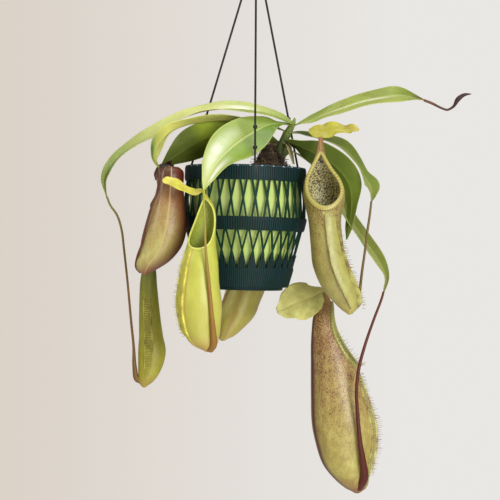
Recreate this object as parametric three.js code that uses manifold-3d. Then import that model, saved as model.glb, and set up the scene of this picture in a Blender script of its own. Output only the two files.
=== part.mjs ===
// Hanging pitcher plant: a climbing stem with long leaves, whose midribs run on as tendrils and end in
// pitchers with lids, growing in a liner pot inside a lattice hanging pot with a three-strand hanger.
// Millimetres, +Z up, the front is -Y. The origin is the inner top of the hanger's hook.

import * as THREE from 'three';
import { mergeVertices } from 'three/addons/utils/BufferGeometryUtils.js';
import Module from 'manifold-3d';

const wasm = await Module();
wasm.setup();

const GAP = 0.3; // clearance between pieces that touch
const DEGREES = Math.PI / 180;

// The lattice pot. Its heights are from its base, which hangs at POT_BASE, leaning by POT_LEAN.
const POT_BASE = new THREE.Vector3(-14.9, 0, -430.3);
const POT_LEAN = 1.5 * DEGREES;
const POT_HEIGHT = 140;
const POT_WALL = 2;
const POT_FLOOR = 3;
const FOOT_RADIUS = 46;
const FOOT_HEIGHT = 4;
const POT_PROFILE = [[4, 50.6], [24, 56], [68.5, 67.2], [84, 70.4], [103, 70], [124, 67.8], [140, 67.6]];
const CROSSES_AROUND = 32;
const LOWER_ROW = { top: 68.5, crossing: 39, apex: 45, tipAbove: 58, tipBelow: 25 };
const UPPER_ROW = { bottom: 82, top: 124, crossing: 103, notch: 4.5 };

// The liner pot and the growing mix in it, measured in the lattice pot's frame
const LINER = {
  bottom: POT_FLOOR + GAP, middle: 80, top: 132, footRadius: 43.6, middleRadius: 62.3, topRadius: 64.8, wall: 1.2,
};
const MIX_LEVEL = 133;
const MOUND = { x: 28, y: 3, height: 33, spreadX: 18, spreadY: 21 };

// The hanger
const HOOK_INNER_RADIUS = 11;
const HOOK_ROD = 1.9;
const HUB_HEIGHT = -58;
const HUB_RADIUS = 3.2;
const STRAND_RADIUS = 1.2;
const BEAD_RADIUS = 1.9;
const CLIP = { width: 5, plate: 1.6, outside: 11, inside: 6, play: 0.7 };
const STRANDS = {
  front: { turn: 9, beads: [0.08, 0.18] },
  left: { turn: -107, beads: [0.12, 0.25] },
  right: { turn: 113, beads: [0.12, 0.25] },
};

// Stem rows: x, y, z, radius
const STEM = [
  [19, 4, -310, 5], [23, 4, -290, 5], [27, 3, -273, 5], [33, 1, -258, 4.8],
  [39, -1, -247, 4.2], [43, -2, -240, 3], [44.5, -3, -236, 1.7], [45, -3, -233, 0.6],
];

// Leaves. way: 1 grows left, -1 grows right, 0 grows back. fold: how far the halves rise from flat.
// Rows from the stem to the tip: x, y, z of the midrib, half width, lean of the face to the front.
const LEAVES = {
  leaf_front: {
    way: 1, fold: 8, wave: 1.2, colour: 0x98ab68,
    rows: [
      [41, -4, -242, 3, 20], [29, -13, -241, 6, 30], [15, -19, -243, 14, 48], [-4, -33, -253, 24, 68],
      [-25, -52, -269, 26, 68], [-42, -74, -289, 18, 62], [-52, -93, -309, 7, 60], [-56, -101, -320, 1.3, 60],
    ],
  },
  leaf_far_left: {
    way: 1, fold: 14, wave: 1.2, colour: 0x97945d,
    rows: [
      [42, -3, -240, 3, 0], [28, -7, -233, 5, 10], [7, -11, -227, 10, 14], [-20, -14, -224, 15, 18],
      [-48, -15, -225, 18, 20], [-77, -15, -232, 19, 20], [-109, -12, -249, 18, 23],
      [-139, -6, -265, 15, 28], [-162, 0, -282, 11, 34], [-174, 6, -302, 5.5, 38], [-172, 10, -323, 1.2, 30],
    ],
  },
  leaf_left_high: {
    way: 1, fold: 10, wave: 1, colour: 0xbcbe74,
    rows: [
      [37, 4, -249, 3, 0], [24, 2, -245, 5, -6], [3, -4, -240, 10, -8], [-22, -10, -237, 13, -8],
      [-48, -17, -237, 14, -8], [-74, -21, -241, 15, -10], [-97, -28, -251, 15, -16],
      [-110, -36, -267, 12, -30], [-113, -45, -281, 6.5, -30], [-108, -54, -293, 1.2, -30],
    ],
  },
  leaf_left_low: {
    way: 1, fold: 8, wave: 1.5, colour: 0x2e340f,
    rows: [
      [31, 8, -264, 3, -20], [12, 8, -256, 8, -40], [-13, 6, -250, 17, -55], [-43, 2, -253, 22, -60],
      [-70, 0, -263, 21, -62], [-91, -1, -276, 13, -60], [-109, -2, -291, 1, -60],
    ],
  },
  leaf_right: {
    way: -1, fold: 6, wave: 0.8, colour: 0xa5aa50,
    rows: [
      [42, -3, -244, 3, 10], [53, -4, -239, 4.5, 20], [66, -6, -234.5, 9, 34], [80, -8, -229, 12, 32],
      [94, -9, -224, 14, 30], [121, -12, -215, 17, 32], [148, -14, -210, 18, 34],
      [164, -14, -208.5, 17, 34], [178, -14, -210.5, 11, 34], [192, -14, -214, 2.2, 20],
    ],
  },
  leaf_right_arched: {
    way: -1, fold: 14, wave: 0.8, colour: 0x7e8238,
    rows: [
      [38, -4, -251, 3, 10], [48, -3, -251, 5, 15], [63, -1, -254, 10, 20], [81, 1, -259, 14, 22],
      [101, 2, -267, 15, 25], [116, 2, -283, 12, 28], [124.5, 1, -298, 10, 30], [132, -1, -311, 14, 38],
      [133.5, -3, -320, 9, 36], [133, -4, -329, 1.2, 30],
    ],
  },
  leaf_right_broad: {
    way: -1, fold: 8, wave: 1.2, colour: 0x425312,
    rows: [
      [34, -4, -260, 3, -20], [44, -5, -263, 7, -35], [58, -4, -269, 13, -45], [75, -1, -277, 18, -50],
      [95, 3, -291, 20, -50], [108, 6, -310, 16, -50], [111, 6, -333, 9, -45], [107, 4, -360, 5, -40],
      [105, 4, -373, 1, -40],
    ],
  },
  leaf_right_low: {
    way: -1, fold: 10, wave: 0.6, colour: 0x667a2c,
    rows: [
      [31, 10, -268, 3, 0], [42, 14, -271, 3.2, 10], [56, 18, -278, 3.5, 20], [76, 21, -295, 6, 30],
      [94, 20, -321, 10, 35], [110, 15, -349, 13, 35], [128, 8, -376, 13, 35], [143, 2, -399, 11, 35],
      [150, -2, -416, 6, 35], [147, -4, -433, 1.3, 35],
    ],
  },
  leaf_back: {
    way: 0, fold: 12, wave: 1, colour: 0x5c7024,
    rows: [
      [36, 7, -260, 3, 0], [33, 18, -258, 6, 0], [29, 36, -258, 14, 0], [25, 54, -263, 18, 0],
      [20, 70, -272, 15, 0], [16, 82, -287, 8, 0], [13, 88, -308, 1.2, 0],
    ],
  },
  old_leaf: {
    way: -1, fold: 20, wave: 0.5, colour: 0x3a2a1c,
    rows: [
      [33, -1, -262, 2.5, 40], [37, -10, -266, 3, 50], [40, -20, -276, 3, 60], [43, -29, -288, 1.2, 60],
    ],
  },
};

// Tendrils run on from the tip of a leaf: x, y, z, radius
const TENDRILS = {
  tendril_bud: {
    from: 'leaf_right', colour: 0x54231f,
    rows: [
      [202, -14, -218, 1.5], [212, -14, -223, 1.3], [219, -14, -225, 1.3], [226, -14, -221, 1.6],
      [231, -14, -213, 2.2], [238, -14, -208, 1.5], [246, -14, -207, 0.6],
    ],
  },
  tendril_front: {
    from: 'leaf_front', colour: 0x9c6a3a,
    rows: [
      [-56, -106, -336, 1], [-55, -108, -355, 1.1], [-54, -108, -385, 1.5], [-51, -107, -417, 2],
      [-48, -106, -452, 2.4], [-46, -103, -474, 3.2], [-46, -96, -487, 4.2], [-50, -88, -493, 4.6],
    ],
  },
  tendril_left: {
    from: 'leaf_left_high', colour: 0x7c5923,
    rows: [
      [-107, -57, -302, 1], [-111, -57, -320, 1], [-119, -57, -347, 1.1], [-128, -53, -376, 1.4],
      [-135, -48, -393, 2], [-134, -43, -404, 3.4], [-128, -40, -408, 4.4],
    ],
  },
  tendril_young: {
    from: 'leaf_far_left', colour: 0x6d5a3a,
    rows: [
      [-168, 10, -333, 1], [-160, 10, -345, 0.9], [-155, 10, -361, 0.9], [-152, 10, -385, 0.9],
      [-148, 10, -422, 1], [-144, 10, -466, 1.2], [-141, 11, -497, 1.6], [-140, 12, -520, 2.6],
      [-137, 13, -535, 3.4], [-129, 14, -536, 3.6],
    ],
  },
  tendril_right: {
    from: 'leaf_right_arched', colour: 0x7a5a30,
    rows: [
      [131, -6, -345, 1], [128, -9, -364, 1], [125, -14, -385, 1.1], [121, -20, -410, 1.3],
      [118, -27, -430, 1.8], [114, -34, -446, 2.8], [107, -40, -452, 3.8],
    ],
  },
  tendril_large: {
    from: 'leaf_right_low', colour: 0x54311e,
    rows: [
      [144, -8, -442, 1], [134, -17, -466, 1.3], [124, -25, -493, 1.5], [117, -29, -518, 1.7],
      [114, -31, -543, 1.9], [115, -31, -568, 2.1], [118, -29, -601, 2.6], [122, -23, -625, 3.6],
      [124, -12, -645, 4.8], [119, 3, -658, 5.5],
    ],
  },
  tendril_back: {
    from: 'leaf_back', colour: 0x6e6a3a,
    rows: [
      [8, 86, -327, 1], [-1, 76, -361, 1], [-15, 68, -399, 1.1], [-31, 64, -432, 1.4],
      [-41, 66, -454, 1.8], [-46, 72, -475, 2.8], [-41, 80, -489, 4],
    ],
  },
};

// Pitchers, cut level. Rows from the base up: z, left, right, y of the middle. depth: depth over width.
// mouth: turn of its face from the front, lowest and highest point, half angle. wings: turn of each
// fringed wing at its top and its foot, and the height where they start.
const PITCHERS = {
  pitcher_front: {
    tendril: 'tendril_front', depth: 1, floor: -472, colour: 0xcfcc69,
    rows: [
      [-495, -57, -48, -84], [-490, -68, -43, -84], [-481, -76, -40, -83], [-466, -82, -38, -83],
      [-443, -86, -37, -83], [-420, -84, -40, -83], [-400, -81, -41, -83],
      [-374, -74, -44, -82], [-350, -65, -43.5, -80], [-336, -60.5, -46, -78], [-324, -58, -54, -77],
    ],
    mouth: { turn: -12, low: -384, high: -329, half: 74, lip: 1.8 },
    wings: { turns: [[-38, -52], [-66, -84]], top: -385, foot: -480 },
  },
  pitcher_left: {
    tendril: 'tendril_left', depth: 1, floor: -390, colour: 0xc7b372,
    rows: [
      [-412, -127, -121, -42], [-407, -133, -111, -42], [-398, -134, -97, -42], [-386, -129, -86, -42],
      [-374, -127, -80, -42], [-358, -123, -77, -42], [-340, -118, -79, -42], [-327, -115, -80, -41],
      [-313, -112, -81, -40], [-297, -110, -81, -38.5], [-292, -105, -86, -38],
    ],
    mouth: { turn: -105, low: -336, high: -300, half: 58, lip: 1.7 },
    wings: { turns: [[-88, -80], [-120, -112]], top: -334, foot: -398 },
  },
  pitcher_right: {
    tendril: 'tendril_right', depth: 1, floor: -438, colour: 0x9a8949,
    rows: [
      [-456, 102, 109, -42], [-451, 95, 114, -42], [-444, 88, 114, -42], [-434, 79, 113, -42],
      [-421, 71, 109, -42], [-402, 64, 103, -42], [-383, 62, 99, -42], [-351, 59, 96, -42],
      [-329, 54, 100, -42], [-318, 53, 100, -42], [-306, 55, 95, -41], [-295, 60, 87, -40],
      [-280, 66.5, 79.5, -37.5], [-258, 71.5, 75.5, -35],
    ],
    mouth: { turn: 0, low: -339, high: -276, half: 60, lip: 2 },
    wings: { turns: [[-4, 6], [38, 84]], top: -346, foot: -447 },
  },
  pitcher_large: {
    tendril: 'tendril_large', depth: 0.92, floor: -638, colour: 0xb39f6d,
    rows: [
      [-665, 113, 122, 10], [-659, 102, 129, 9], [-645, 87, 132, 8], [-631, 77, 135, 8],
      [-610, 70, 139, 8], [-585, 65, 138, 8], [-548, 64, 127, 8],
      [-514, 64, 116, 8], [-495, 64, 108, 8], [-477, 65, 98, 8], [-461, 67, 92, 9], [-449, 73, 89, 10],
      [-435, 77, 84, 12],
    ],
    mouth: { turn: 82, low: -519, high: -446, half: 54, lip: 2.4 },
    wings: { turns: [[58, 50], [90, 94]], top: -526, foot: -646 },
  },
  pitcher_back: {
    tendril: 'tendril_back', depth: 1, floor: -470, colour: 0x9f974b,
    rows: [
      [-493, -43, -35, 80], [-489, -44, -26, 82], [-479, -45, -14, 85], [-465, -44, -1, 89],
      [-448, -40, 6, 92], [-431, -35, 13, 94], [-405, -24, 20, 97],
      [-376, -11, 24, 100], [-346, -1, 24, 102], [-331, 4, 22, 104], [-314, 11, 18, 106],
    ],
    mouth: { turn: 170, low: -366, high: -318, half: 60, lip: 1.8 },
    wings: { turns: [[150, 160], [190, 200]], top: -370, foot: -482 },
  },
  pitcher_young: {
    tendril: 'tendril_young', depth: 0.86, colour: 0x928f32,
    rows: [
      [-543, -132, -126, 14], [-538, -136, -119, 14], [-529, -136, -112, 14], [-515, -136, -106, 14],
      [-501, -136, -104, 14], [-485, -135, -107, 14], [-464, -135, -110, 14],
      [-426, -134, -114, 14], [-411, -132, -115, 14], [-399, -129, -117, 14], [-390, -125, -121, 14],
    ],
    wings: { turns: [[-30, -26], [12, 4]], top: -440, foot: -522 },
  },
};

// Lids grow on the tip of a pitcher's neck. Rows as a leaf's, without the first point; a lid with a lobe
// on either side of the neck lies over it and has all its rows.
const LIDS = {
  lid_front: {
    on: 'pitcher_front', way: 1, fold: 12, wave: 1, colour: 0xd0c955,
    rows: [[-60, -78, -320, 4, 40], [-67, -81, -322, 7, 50], [-78, -83, -318, 8, 50],
      [-89, -84, -312, 7, 50], [-101, -82, -308, 2, 50]],
  },
  lid_left: {
    on: 'pitcher_left', way: 1, fold: 6, wave: 0.5, colour: 0x4e3420,
    rows: [[-96, -35, -289, 5, -10], [-100, -29, -289, 8, -10], [-107, -20, -292, 9, -10],
      [-112, -12, -298, 6, -10], [-114, -6, -304, 2, -10]],
  },
  lid_right: {
    over: 'pitcher_right', way: -1, fold: 6, wave: 1.2, colour: 0xd0c955,
    rows: [[60, -28, -250, 2.5, 60], [67.5, -29, -251, 8, 60], [78.5, -30, -251, 10, 60],
      [89, -34, -248.5, 9, 60], [101, -40, -249.5, 5, 60], [109, -44, -249, 6, 60], [115.5, -47, -251, 1.5, 60]],
  },
  lid_large: {
    on: 'pitcher_large', way: 1, fold: 5, wave: 1.2, colour: 0xb2af62,
    rows: [[76, 11, -434, 8, 62], [68, 10, -439, 18, 66], [54, 8, -444, 24, 66],
      [41, 7, -449, 20, 66], [33, 6, -453, 13, 66], [24.5, 5, -455.5, 3.5, 66]],
  },
  lid_back: {
    on: 'pitcher_back', way: -1, fold: 6, wave: 0.6, colour: 0xb2af62,
    rows: [[17, 108, -310, 4, 30], [25, 112, -306, 8, 30], [38, 117, -309, 10, 30],
      [50, 121, -317, 3, 30]],
  },
};

const FRONT = new THREE.Vector3(0, -1, 0);
const vector = (row) => new THREE.Vector3(row[0], row[1], row[2]);

// A closed geometry turned so that its faces point out
function closed(points, triangles) {
  let volume = 0;
  for (const [a, b, c] of triangles) {
    volume += points[a].dot(new THREE.Vector3().crossVectors(points[b], points[c]));
  }
  const facing = volume < 0 ? triangles.map(([a, b, c]) => [a, c, b]) : triangles;
  const geometry = new THREE.BufferGeometry().setFromPoints(points);
  geometry.setIndex(facing.flat());
  return geometry;
}

// Skins rings with equal counts of points, each turned the same way, and caps both ends
function loft(rings) {
  const count = rings[0].length;
  const points = rings.flat();
  const triangles = [];
  for (let r = 0; r < rings.length - 1; r += 1) {
    for (let i = 0; i < count; i += 1) {
      const a = r * count + i;
      const b = r * count + ((i + 1) % count);
      triangles.push([a, b, b + count], [a, b + count, a + count]);
    }
  }
  const last = (rings.length - 1) * count;
  for (let i = 1; i < count - 1; i += 1) {
    triangles.push([0, i + 1, i], [last, last + i, last + i + 1]);
  }
  return closed(points, triangles);
}

function toSolid(geometry) {
  const bare = geometry.clone();
  for (const name of Object.keys(bare.attributes)) {
    if (name !== 'position') bare.deleteAttribute(name);
  }
  const merged = mergeVertices(bare, 1e-4);
  return new wasm.Manifold(new wasm.Mesh({
    numProp: 3,
    vertProperties: new Float32Array(merged.attributes.position.array),
    triVerts: new Uint32Array(merged.index.array),
  }));
}

function toGeometry(solid) {
  const mesh = solid.getMesh();
  const geometry = new THREE.BufferGeometry();
  geometry.setAttribute('position', new THREE.BufferAttribute(mesh.vertProperties, 3));
  geometry.setIndex(new THREE.BufferAttribute(mesh.triVerts, 1));
  return geometry;
}

const join = (geometries) => toGeometry(geometries.map(toSolid).reduce((all, next) => all.add(next)));

// The largest body that is left of a geometry when others are cut away
function cut(geometry, others) {
  const left = others.map(toSolid).reduce((all, next) => all.subtract(next), toSolid(geometry));
  const bodies = left.decompose().sort((a, b) => b.volume() - a.volume());
  return toGeometry(bodies[0]);
}

// Smooth curves through the first three columns of some rows, and through two more columns
class RowCurve {
  constructor(rows) {
    this.places = new THREE.CatmullRomCurve3(rows.map(vector));
    this.values = new THREE.CatmullRomCurve3(rows.map((row) => new THREE.Vector3(row[3], row[4] ?? 0, 0)));
    this.values.curveType = 'catmullrom';
  }

  at(share) {
    const value = this.values.getPoint(share);
    return {
      place: this.places.getPoint(share),
      along: this.places.getTangent(share),
      first: value.x,
      second: value.y,
    };
  }
}

// A round tapering rod along rows of x, y, z, radius
function rod(rows, sides, steps, grow = 0) {
  const curve = new RowCurve(rows);
  const rings = [];
  let side = new THREE.Vector3(1, 0, 0);
  for (let k = 0; k <= steps; k += 1) {
    const { place, along, first } = curve.at(k / steps);
    side = side.clone().addScaledVector(along, -side.dot(along));
    if (side.lengthSq() < 0.01) side.crossVectors(along, FRONT);
    side.normalize();
    const up = new THREE.Vector3().crossVectors(along, side);
    rings.push(Array.from({ length: sides }, (_, i) => {
      const turn = (2 * Math.PI * i) / sides;
      return place.clone()
        .addScaledVector(side, (first + grow) * Math.cos(turn))
        .addScaledVector(up, (first + grow) * Math.sin(turn));
    }));
  }
  return loft(rings);
}

const BLADE_ACROSS = [-1, -0.5, 0, 0.5, 1];
const LEAF_STEPS = 10;
const LID_STEPS = 7;
const RIB_THICKNESS = 1.7;
const EDGE_THICKNESS = 0.8;

// A thin leaf blade: folded up a little along its midrib, with waved edges and a thicker rib
function blade({ rows, way, fold, wave }, steps, grow = 0) {
  const curve = new RowCurve(rows);
  const across = BLADE_ACROSS.length;
  const top = [];
  const bottom = [];
  const rise = fold * DEGREES;
  for (let k = 0; k <= steps; k += 1) {
    const share = k / steps;
    const { place, along, first, second } = curve.at(share);
    const reference = way === 0 ? new THREE.Vector3(-1, 0, 0) : FRONT;
    const near = reference.clone().addScaledVector(along, -reference.dot(along)).normalize();
    const over = new THREE.Vector3().crossVectors(along, near).multiplyScalar(way === 0 ? -1 : way);
    const lean = second * DEGREES;
    const normal = over.multiplyScalar(Math.cos(lean)).addScaledVector(near, Math.sin(lean));
    const side = new THREE.Vector3().crossVectors(along, normal);
    for (const u of BLADE_ACROSS) {
      const half = first + grow;
      const ripple = wave * Math.abs(u) ** 2 * Math.sin(share * 21 + u * 1.3) * Math.min(1, first / 8);
      const middle = place.clone()
        .addScaledVector(side, u * half * Math.cos(rise))
        .addScaledVector(normal, Math.abs(u) * half * Math.sin(rise) + ripple);
      const face = normal.clone().multiplyScalar(Math.cos(rise))
        .addScaledVector(side, -Math.sign(u) * Math.sin(rise)).normalize();
      const rib = u === 0 ? RIB_THICKNESS : EDGE_THICKNESS;
      const thick = Math.max(rib, first < 3 ? 1.4 * first : 0) / 2 + grow;
      top.push(middle.clone().addScaledVector(face, thick));
      bottom.push(middle.clone().addScaledVector(face, -thick));
    }
  }
  const points = [...top, ...bottom];
  const under = top.length;
  const triangles = [];
  for (let k = 0; k < steps; k += 1) {
    for (let j = 0; j < across - 1; j += 1) {
      const a = k * across + j;
      const c = a + across;
      triangles.push([a, a + 1, c + 1], [a, c + 1, c]);
      triangles.push([under + a, under + c + 1, under + a + 1], [under + a, under + c, under + c + 1]);
    }
    for (const j of [0, across - 1]) {
      const a = k * across + j;
      const c = a + across;
      const edge = [[a, c, under + c], [a, under + c, under + a]];
      triangles.push(...(j === 0 ? edge : edge.map(([p, q, r]) => [p, r, q])));
    }
  }
  for (const k of [0, steps]) {
    for (let j = 0; j < across - 1; j += 1) {
      const a = k * across + j;
      const end = [[a, under + a, under + a + 1], [a, under + a + 1, a + 1]];
      triangles.push(...(k === 0 ? end : end.map(([p, q, r]) => [p, r, q])));
    }
  }
  return closed(points, triangles);
}

// The level cut of a pitcher at a height: its middle and its half width and half depth
function pitcherCut(pitcher, height) {
  const { rows } = pitcher;
  const next = Math.max(1, rows.findIndex((row) => row[0] >= height));
  const [before, after] = [rows[next - 1], rows[next]];
  const share = (height - before[0]) / (after[0] - before[0]);
  const [left, right, y] = [1, 2, 3].map((i) => before[i] + (after[i] - before[i]) * share);
  const half = (right - left) / 2;
  return { x: (left + right) / 2, y, z: height, half, deep: half * pitcher.depth };
}

// How far the flat facets of a pitcher lie inside its round cut, as a share of the radius
const PITCHER_SIDES = 10;
function facetShare(turn) {
  const halfSide = Math.PI / PITCHER_SIDES;
  const offset = (((turn % (2 * halfSide)) + 2 * halfSide) % (2 * halfSide)) - halfSide;
  return Math.cos(halfSide) / Math.cos(offset);
}

// A point of a pitcher's wall. turn 0 faces the front, 90 degrees faces +X. out: distance off the wall
function wallPoint(pitcher, height, turn, out = 0) {
  const { x, y, z, half, deep } = pitcherCut(pitcher, height);
  const share = facetShare(turn);
  return new THREE.Vector3(
    x + (half * share + out) * Math.sin(turn),
    y - (deep * share + out) * Math.cos(turn),
    z,
  );
}

function wallRing(pitcher, height, sides, out) {
  return Array.from({ length: sides }, (_, i) => wallPoint(pitcher, height, (2 * Math.PI * i) / sides, out));
}

const PITCHER_WALL = 1.5;

function pitcherBody(pitcher, grow = 0) {
  return loft(pitcher.rows.map((row) => wallRing(pitcher, row[0], PITCHER_SIDES, grow)));
}

// The hollow inside, from the cup's floor up to where the neck closes
function pitcherHollow(pitcher) {
  const roomy = (height) => pitcherCut(pitcher, height).half > 2 * PITCHER_WALL + 1;
  const inside = pitcher.rows.map((row) => row[0]).filter((z) => z > pitcher.floor + 4 && roomy(z));
  const heights = inside.filter((z, i) => z > pitcher.mouth.low - 20 || i % 2 === 0);
  return loft([pitcher.floor, ...heights].map((z) => wallRing(pitcher, z, PITCHER_SIDES, -PITCHER_WALL)));
}

// The edge of the mouth as heights and turns, round from its lowest point
const MOUTH_POINTS = 10;
function mouthEdge({ turn, low, high, half }) {
  return Array.from({ length: MOUTH_POINTS }, (_, i) => {
    const round = (2 * Math.PI * i) / MOUTH_POINTS;
    const height = low + ((high - low) * (1 - Math.cos(round))) / 2;
    return { height, turn: (turn + half * Math.sin(round)) * DEGREES };
  });
}

// The block that opens the mouth, from the pitcher's middle out past the wall
function mouthCut(pitcher) {
  const turn = pitcher.mouth.turn * DEGREES;
  const out = new THREE.Vector3(Math.sin(turn), -Math.cos(turn), 0);
  const edge = mouthEdge(pitcher.mouth).map((p) => wallPoint(pitcher, p.height, p.turn));
  const floor = pitcherCut(pitcher, pitcher.mouth.low);
  const middle = new THREE.Vector3(floor.x, floor.y, 0);
  const at = (reach) => edge.map((p) => {
    const depth = out.dot(p.clone().sub(middle));
    return p.clone().addScaledVector(out, reach - depth);
  });
  return loft([at(0), at(60)]);
}

// The rolled lip round the mouth
const LIP_SIDES = 4;
function lip(pitcher) {
  const edge = mouthEdge(pitcher.mouth);
  const places = edge.map((p) => wallPoint(pitcher, p.height, p.turn, 0.4));
  const rings = places.map((place, i) => {
    const along = places[(i + 1) % places.length].clone().sub(places.at(i - 1)).normalize();
    const middle = pitcherCut(pitcher, edge[i].height);
    const outward = place.clone().sub(new THREE.Vector3(middle.x, middle.y, middle.z)).normalize();
    const side = outward.addScaledVector(along, -outward.dot(along)).normalize();
    const up = new THREE.Vector3().crossVectors(along, side);
    return Array.from({ length: LIP_SIDES }, (_, k) => {
      const round = (2 * Math.PI * k) / LIP_SIDES;
      return place.clone()
        .addScaledVector(side, pitcher.mouth.lip * Math.cos(round))
        .addScaledVector(up, pitcher.mouth.lip * Math.sin(round));
    });
  });
  return ringLoft(rings);
}

// Skins rings that follow each other round a closed loop
function ringLoft(rings) {
  const count = rings[0].length;
  const triangles = [];
  rings.forEach((_, r) => {
    for (let i = 0; i < count; i += 1) {
      const a = r * count + i;
      const b = r * count + ((i + 1) % count);
      const c = ((r + 1) % rings.length) * count + i;
      const d = ((r + 1) % rings.length) * count + ((i + 1) % count);
      triangles.push([a, b, d], [a, d, c]);
    }
  });
  return closed(rings.flat(), triangles);
}

// A thin upright wing on a pitcher's wall, with a fringe of teeth
const WING_THICKNESS = 0.9;
const WING_TEETH = 3;
const WING_RISE = { valley: 1.2, tooth: 3.8 };
const WING_ROOT = 1;
function wing(pitcher, [topTurn, footTurn]) {
  const { top, foot } = pitcher.wings;
  const steps = 2 * WING_TEETH;
  const rings = [];
  for (let k = 0; k <= steps; k += 1) {
    const share = k / steps;
    const height = foot + (top - foot) * share;
    const turn = (footTurn + (topTurn - footTurn) * share) * DEGREES;
    const root = wallPoint(pitcher, height, turn, -WING_ROOT);
    const edge = wallPoint(pitcher, height, turn, k % 2 ? WING_RISE.tooth : WING_RISE.valley);
    const side = new THREE.Vector3(Math.cos(turn), Math.sin(turn), 0).multiplyScalar(WING_THICKNESS / 2);
    const roots = [root.clone().sub(side), root.clone().add(side)];
    rings.push([...roots, edge.clone().add(side), edge.clone().sub(side)]);
  }
  return loft(rings);
}

function pitcherGeometry(pitcher) {
  const wings = pitcher.wings.turns.map((turns) => wing(pitcher, turns));
  if (!pitcher.mouth) return join([pitcherBody(pitcher), ...wings]);
  const shell = cut(join([pitcherBody(pitcher), ...wings]), [pitcherHollow(pitcher), mouthCut(pitcher)]);
  return join([shell, lip(pitcher)]);
}

// The pot's outer radius at a height above its base
function potRadius(height) {
  const next = Math.max(1, POT_PROFILE.findIndex(([z]) => z >= height));
  const [[z0, r0], [z1, r1]] = [POT_PROFILE[next - 1], POT_PROFILE[next]];
  return r0 + ((r1 - r0) * (height - z0)) / (z1 - z0);
}

// The flat pattern of one period of the lattice: outlines as [share of the period, height]
function latticeOutlines() {
  const { top: high, crossing, apex, tipAbove, tipBelow } = LOWER_ROW;
  const bandEdge = [[0, high], [0.13, high], [0.87, high], [1, high]];
  const upper = UPPER_ROW;
  const feet = [0.13, 0.29, 0.71, 0.87];
  const upperFeet = feet.map((u) => [u, upper.bottom]);
  const upperTops = feet.map((u) => [u, upper.top]);
  return [
    [[0, FOOT_HEIGHT], [1, FOOT_HEIGHT], [1, tipBelow], [0.62, crossing], [1, tipAbove], [1, high],
      [0.87, high], [0.5, apex], [0.13, high], [0, high], [0, tipAbove], [0.38, crossing], [0, tipBelow]],
    [...bandEdge, [1, upper.bottom], ...upperFeet.toReversed(), [0, upper.bottom]],
    [upperFeet[0], upperFeet[1], [0.5, upper.crossing - upper.notch], upperFeet[2], upperFeet[3],
      [0.6, upper.crossing], upperTops[3], upperTops[2], [0.5, upper.crossing + upper.notch],
      upperTops[1], upperTops[0], [0.4, upper.crossing]],
    [[0, upper.top], ...upperTops, [1, upper.top], [1, POT_HEIGHT], [0, POT_HEIGHT]],
  ];
}

// The lattice wall: the flat pattern wrapped round the pot, with a wall's thickness
function latticeWall() {
  const points = [];
  const index = new Map();
  const corner = (turn, height) => {
    const place = turn % CROSSES_AROUND;
    const key = `${place.toFixed(3)} ${height.toFixed(3)}`;
    if (!index.has(key)) {
      index.set(key, points.length / 2);
      const angle = ((place - 0.5) / CROSSES_AROUND) * 2 * Math.PI - 1.3 * DEGREES;
      for (const radius of [potRadius(height), potRadius(height) - POT_WALL]) {
        points.push(new THREE.Vector3(radius * Math.sin(angle), -radius * Math.cos(angle), height));
      }
    }
    return index.get(key);
  };
  const faces = [];
  for (const outline of latticeOutlines()) {
    const flat = outline.map(([u, z]) => new THREE.Vector2(u * 13, z));
    const pieces = THREE.ShapeUtils.triangulateShape(flat, []);
    for (let period = 0; period < CROSSES_AROUND; period += 1) {
      for (const piece of pieces) {
        faces.push(piece.map((i) => corner(period + outline[i][0], outline[i][1])));
      }
    }
  }
  const edges = new Set(faces.flatMap(([a, b, c]) => [`${a} ${b}`, `${b} ${c}`, `${c} ${a}`]));
  const triangles = [];
  for (const [a, b, c] of faces) {
    triangles.push([2 * a, 2 * b, 2 * c], [2 * a + 1, 2 * c + 1, 2 * b + 1]);
    for (const [p, q] of [[a, b], [b, c], [c, a]]) {
      if (!edges.has(`${q} ${p}`)) {
        triangles.push([2 * q, 2 * p, 2 * p + 1], [2 * q, 2 * p + 1, 2 * q + 1]);
      }
    }
  }
  return closed(points, triangles);
}

function lathe(profile, segments) {
  const geometry = new THREE.LatheGeometry(profile.map(([r, z]) => new THREE.Vector2(r, z)), segments);
  return geometry.rotateX(Math.PI / 2);
}

function latticePot() {
  const lap = potRadius(FOOT_HEIGHT) - POT_WALL / 2;
  const base = lathe([
    [0, 0], [FOOT_RADIUS, 0], [FOOT_RADIUS, FOOT_HEIGHT], [lap, FOOT_HEIGHT], [lap, FOOT_HEIGHT + 2],
    [FOOT_RADIUS - 1, FOOT_HEIGHT + 2], [FOOT_RADIUS - 1, POT_FLOOR], [0, POT_FLOOR],
  ], CROSSES_AROUND);
  return join([latticeWall(), base]);
}

function linerPot() {
  const { bottom, middle, top, footRadius, middleRadius, topRadius, wall } = LINER;
  return lathe([
    [0, bottom], [footRadius, bottom], [middleRadius, middle], [topRadius, top], [topRadius - wall, top],
    [middleRadius - wall, middle], [footRadius - wall, bottom + wall], [0, bottom + wall],
  ], 24);
}

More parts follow.
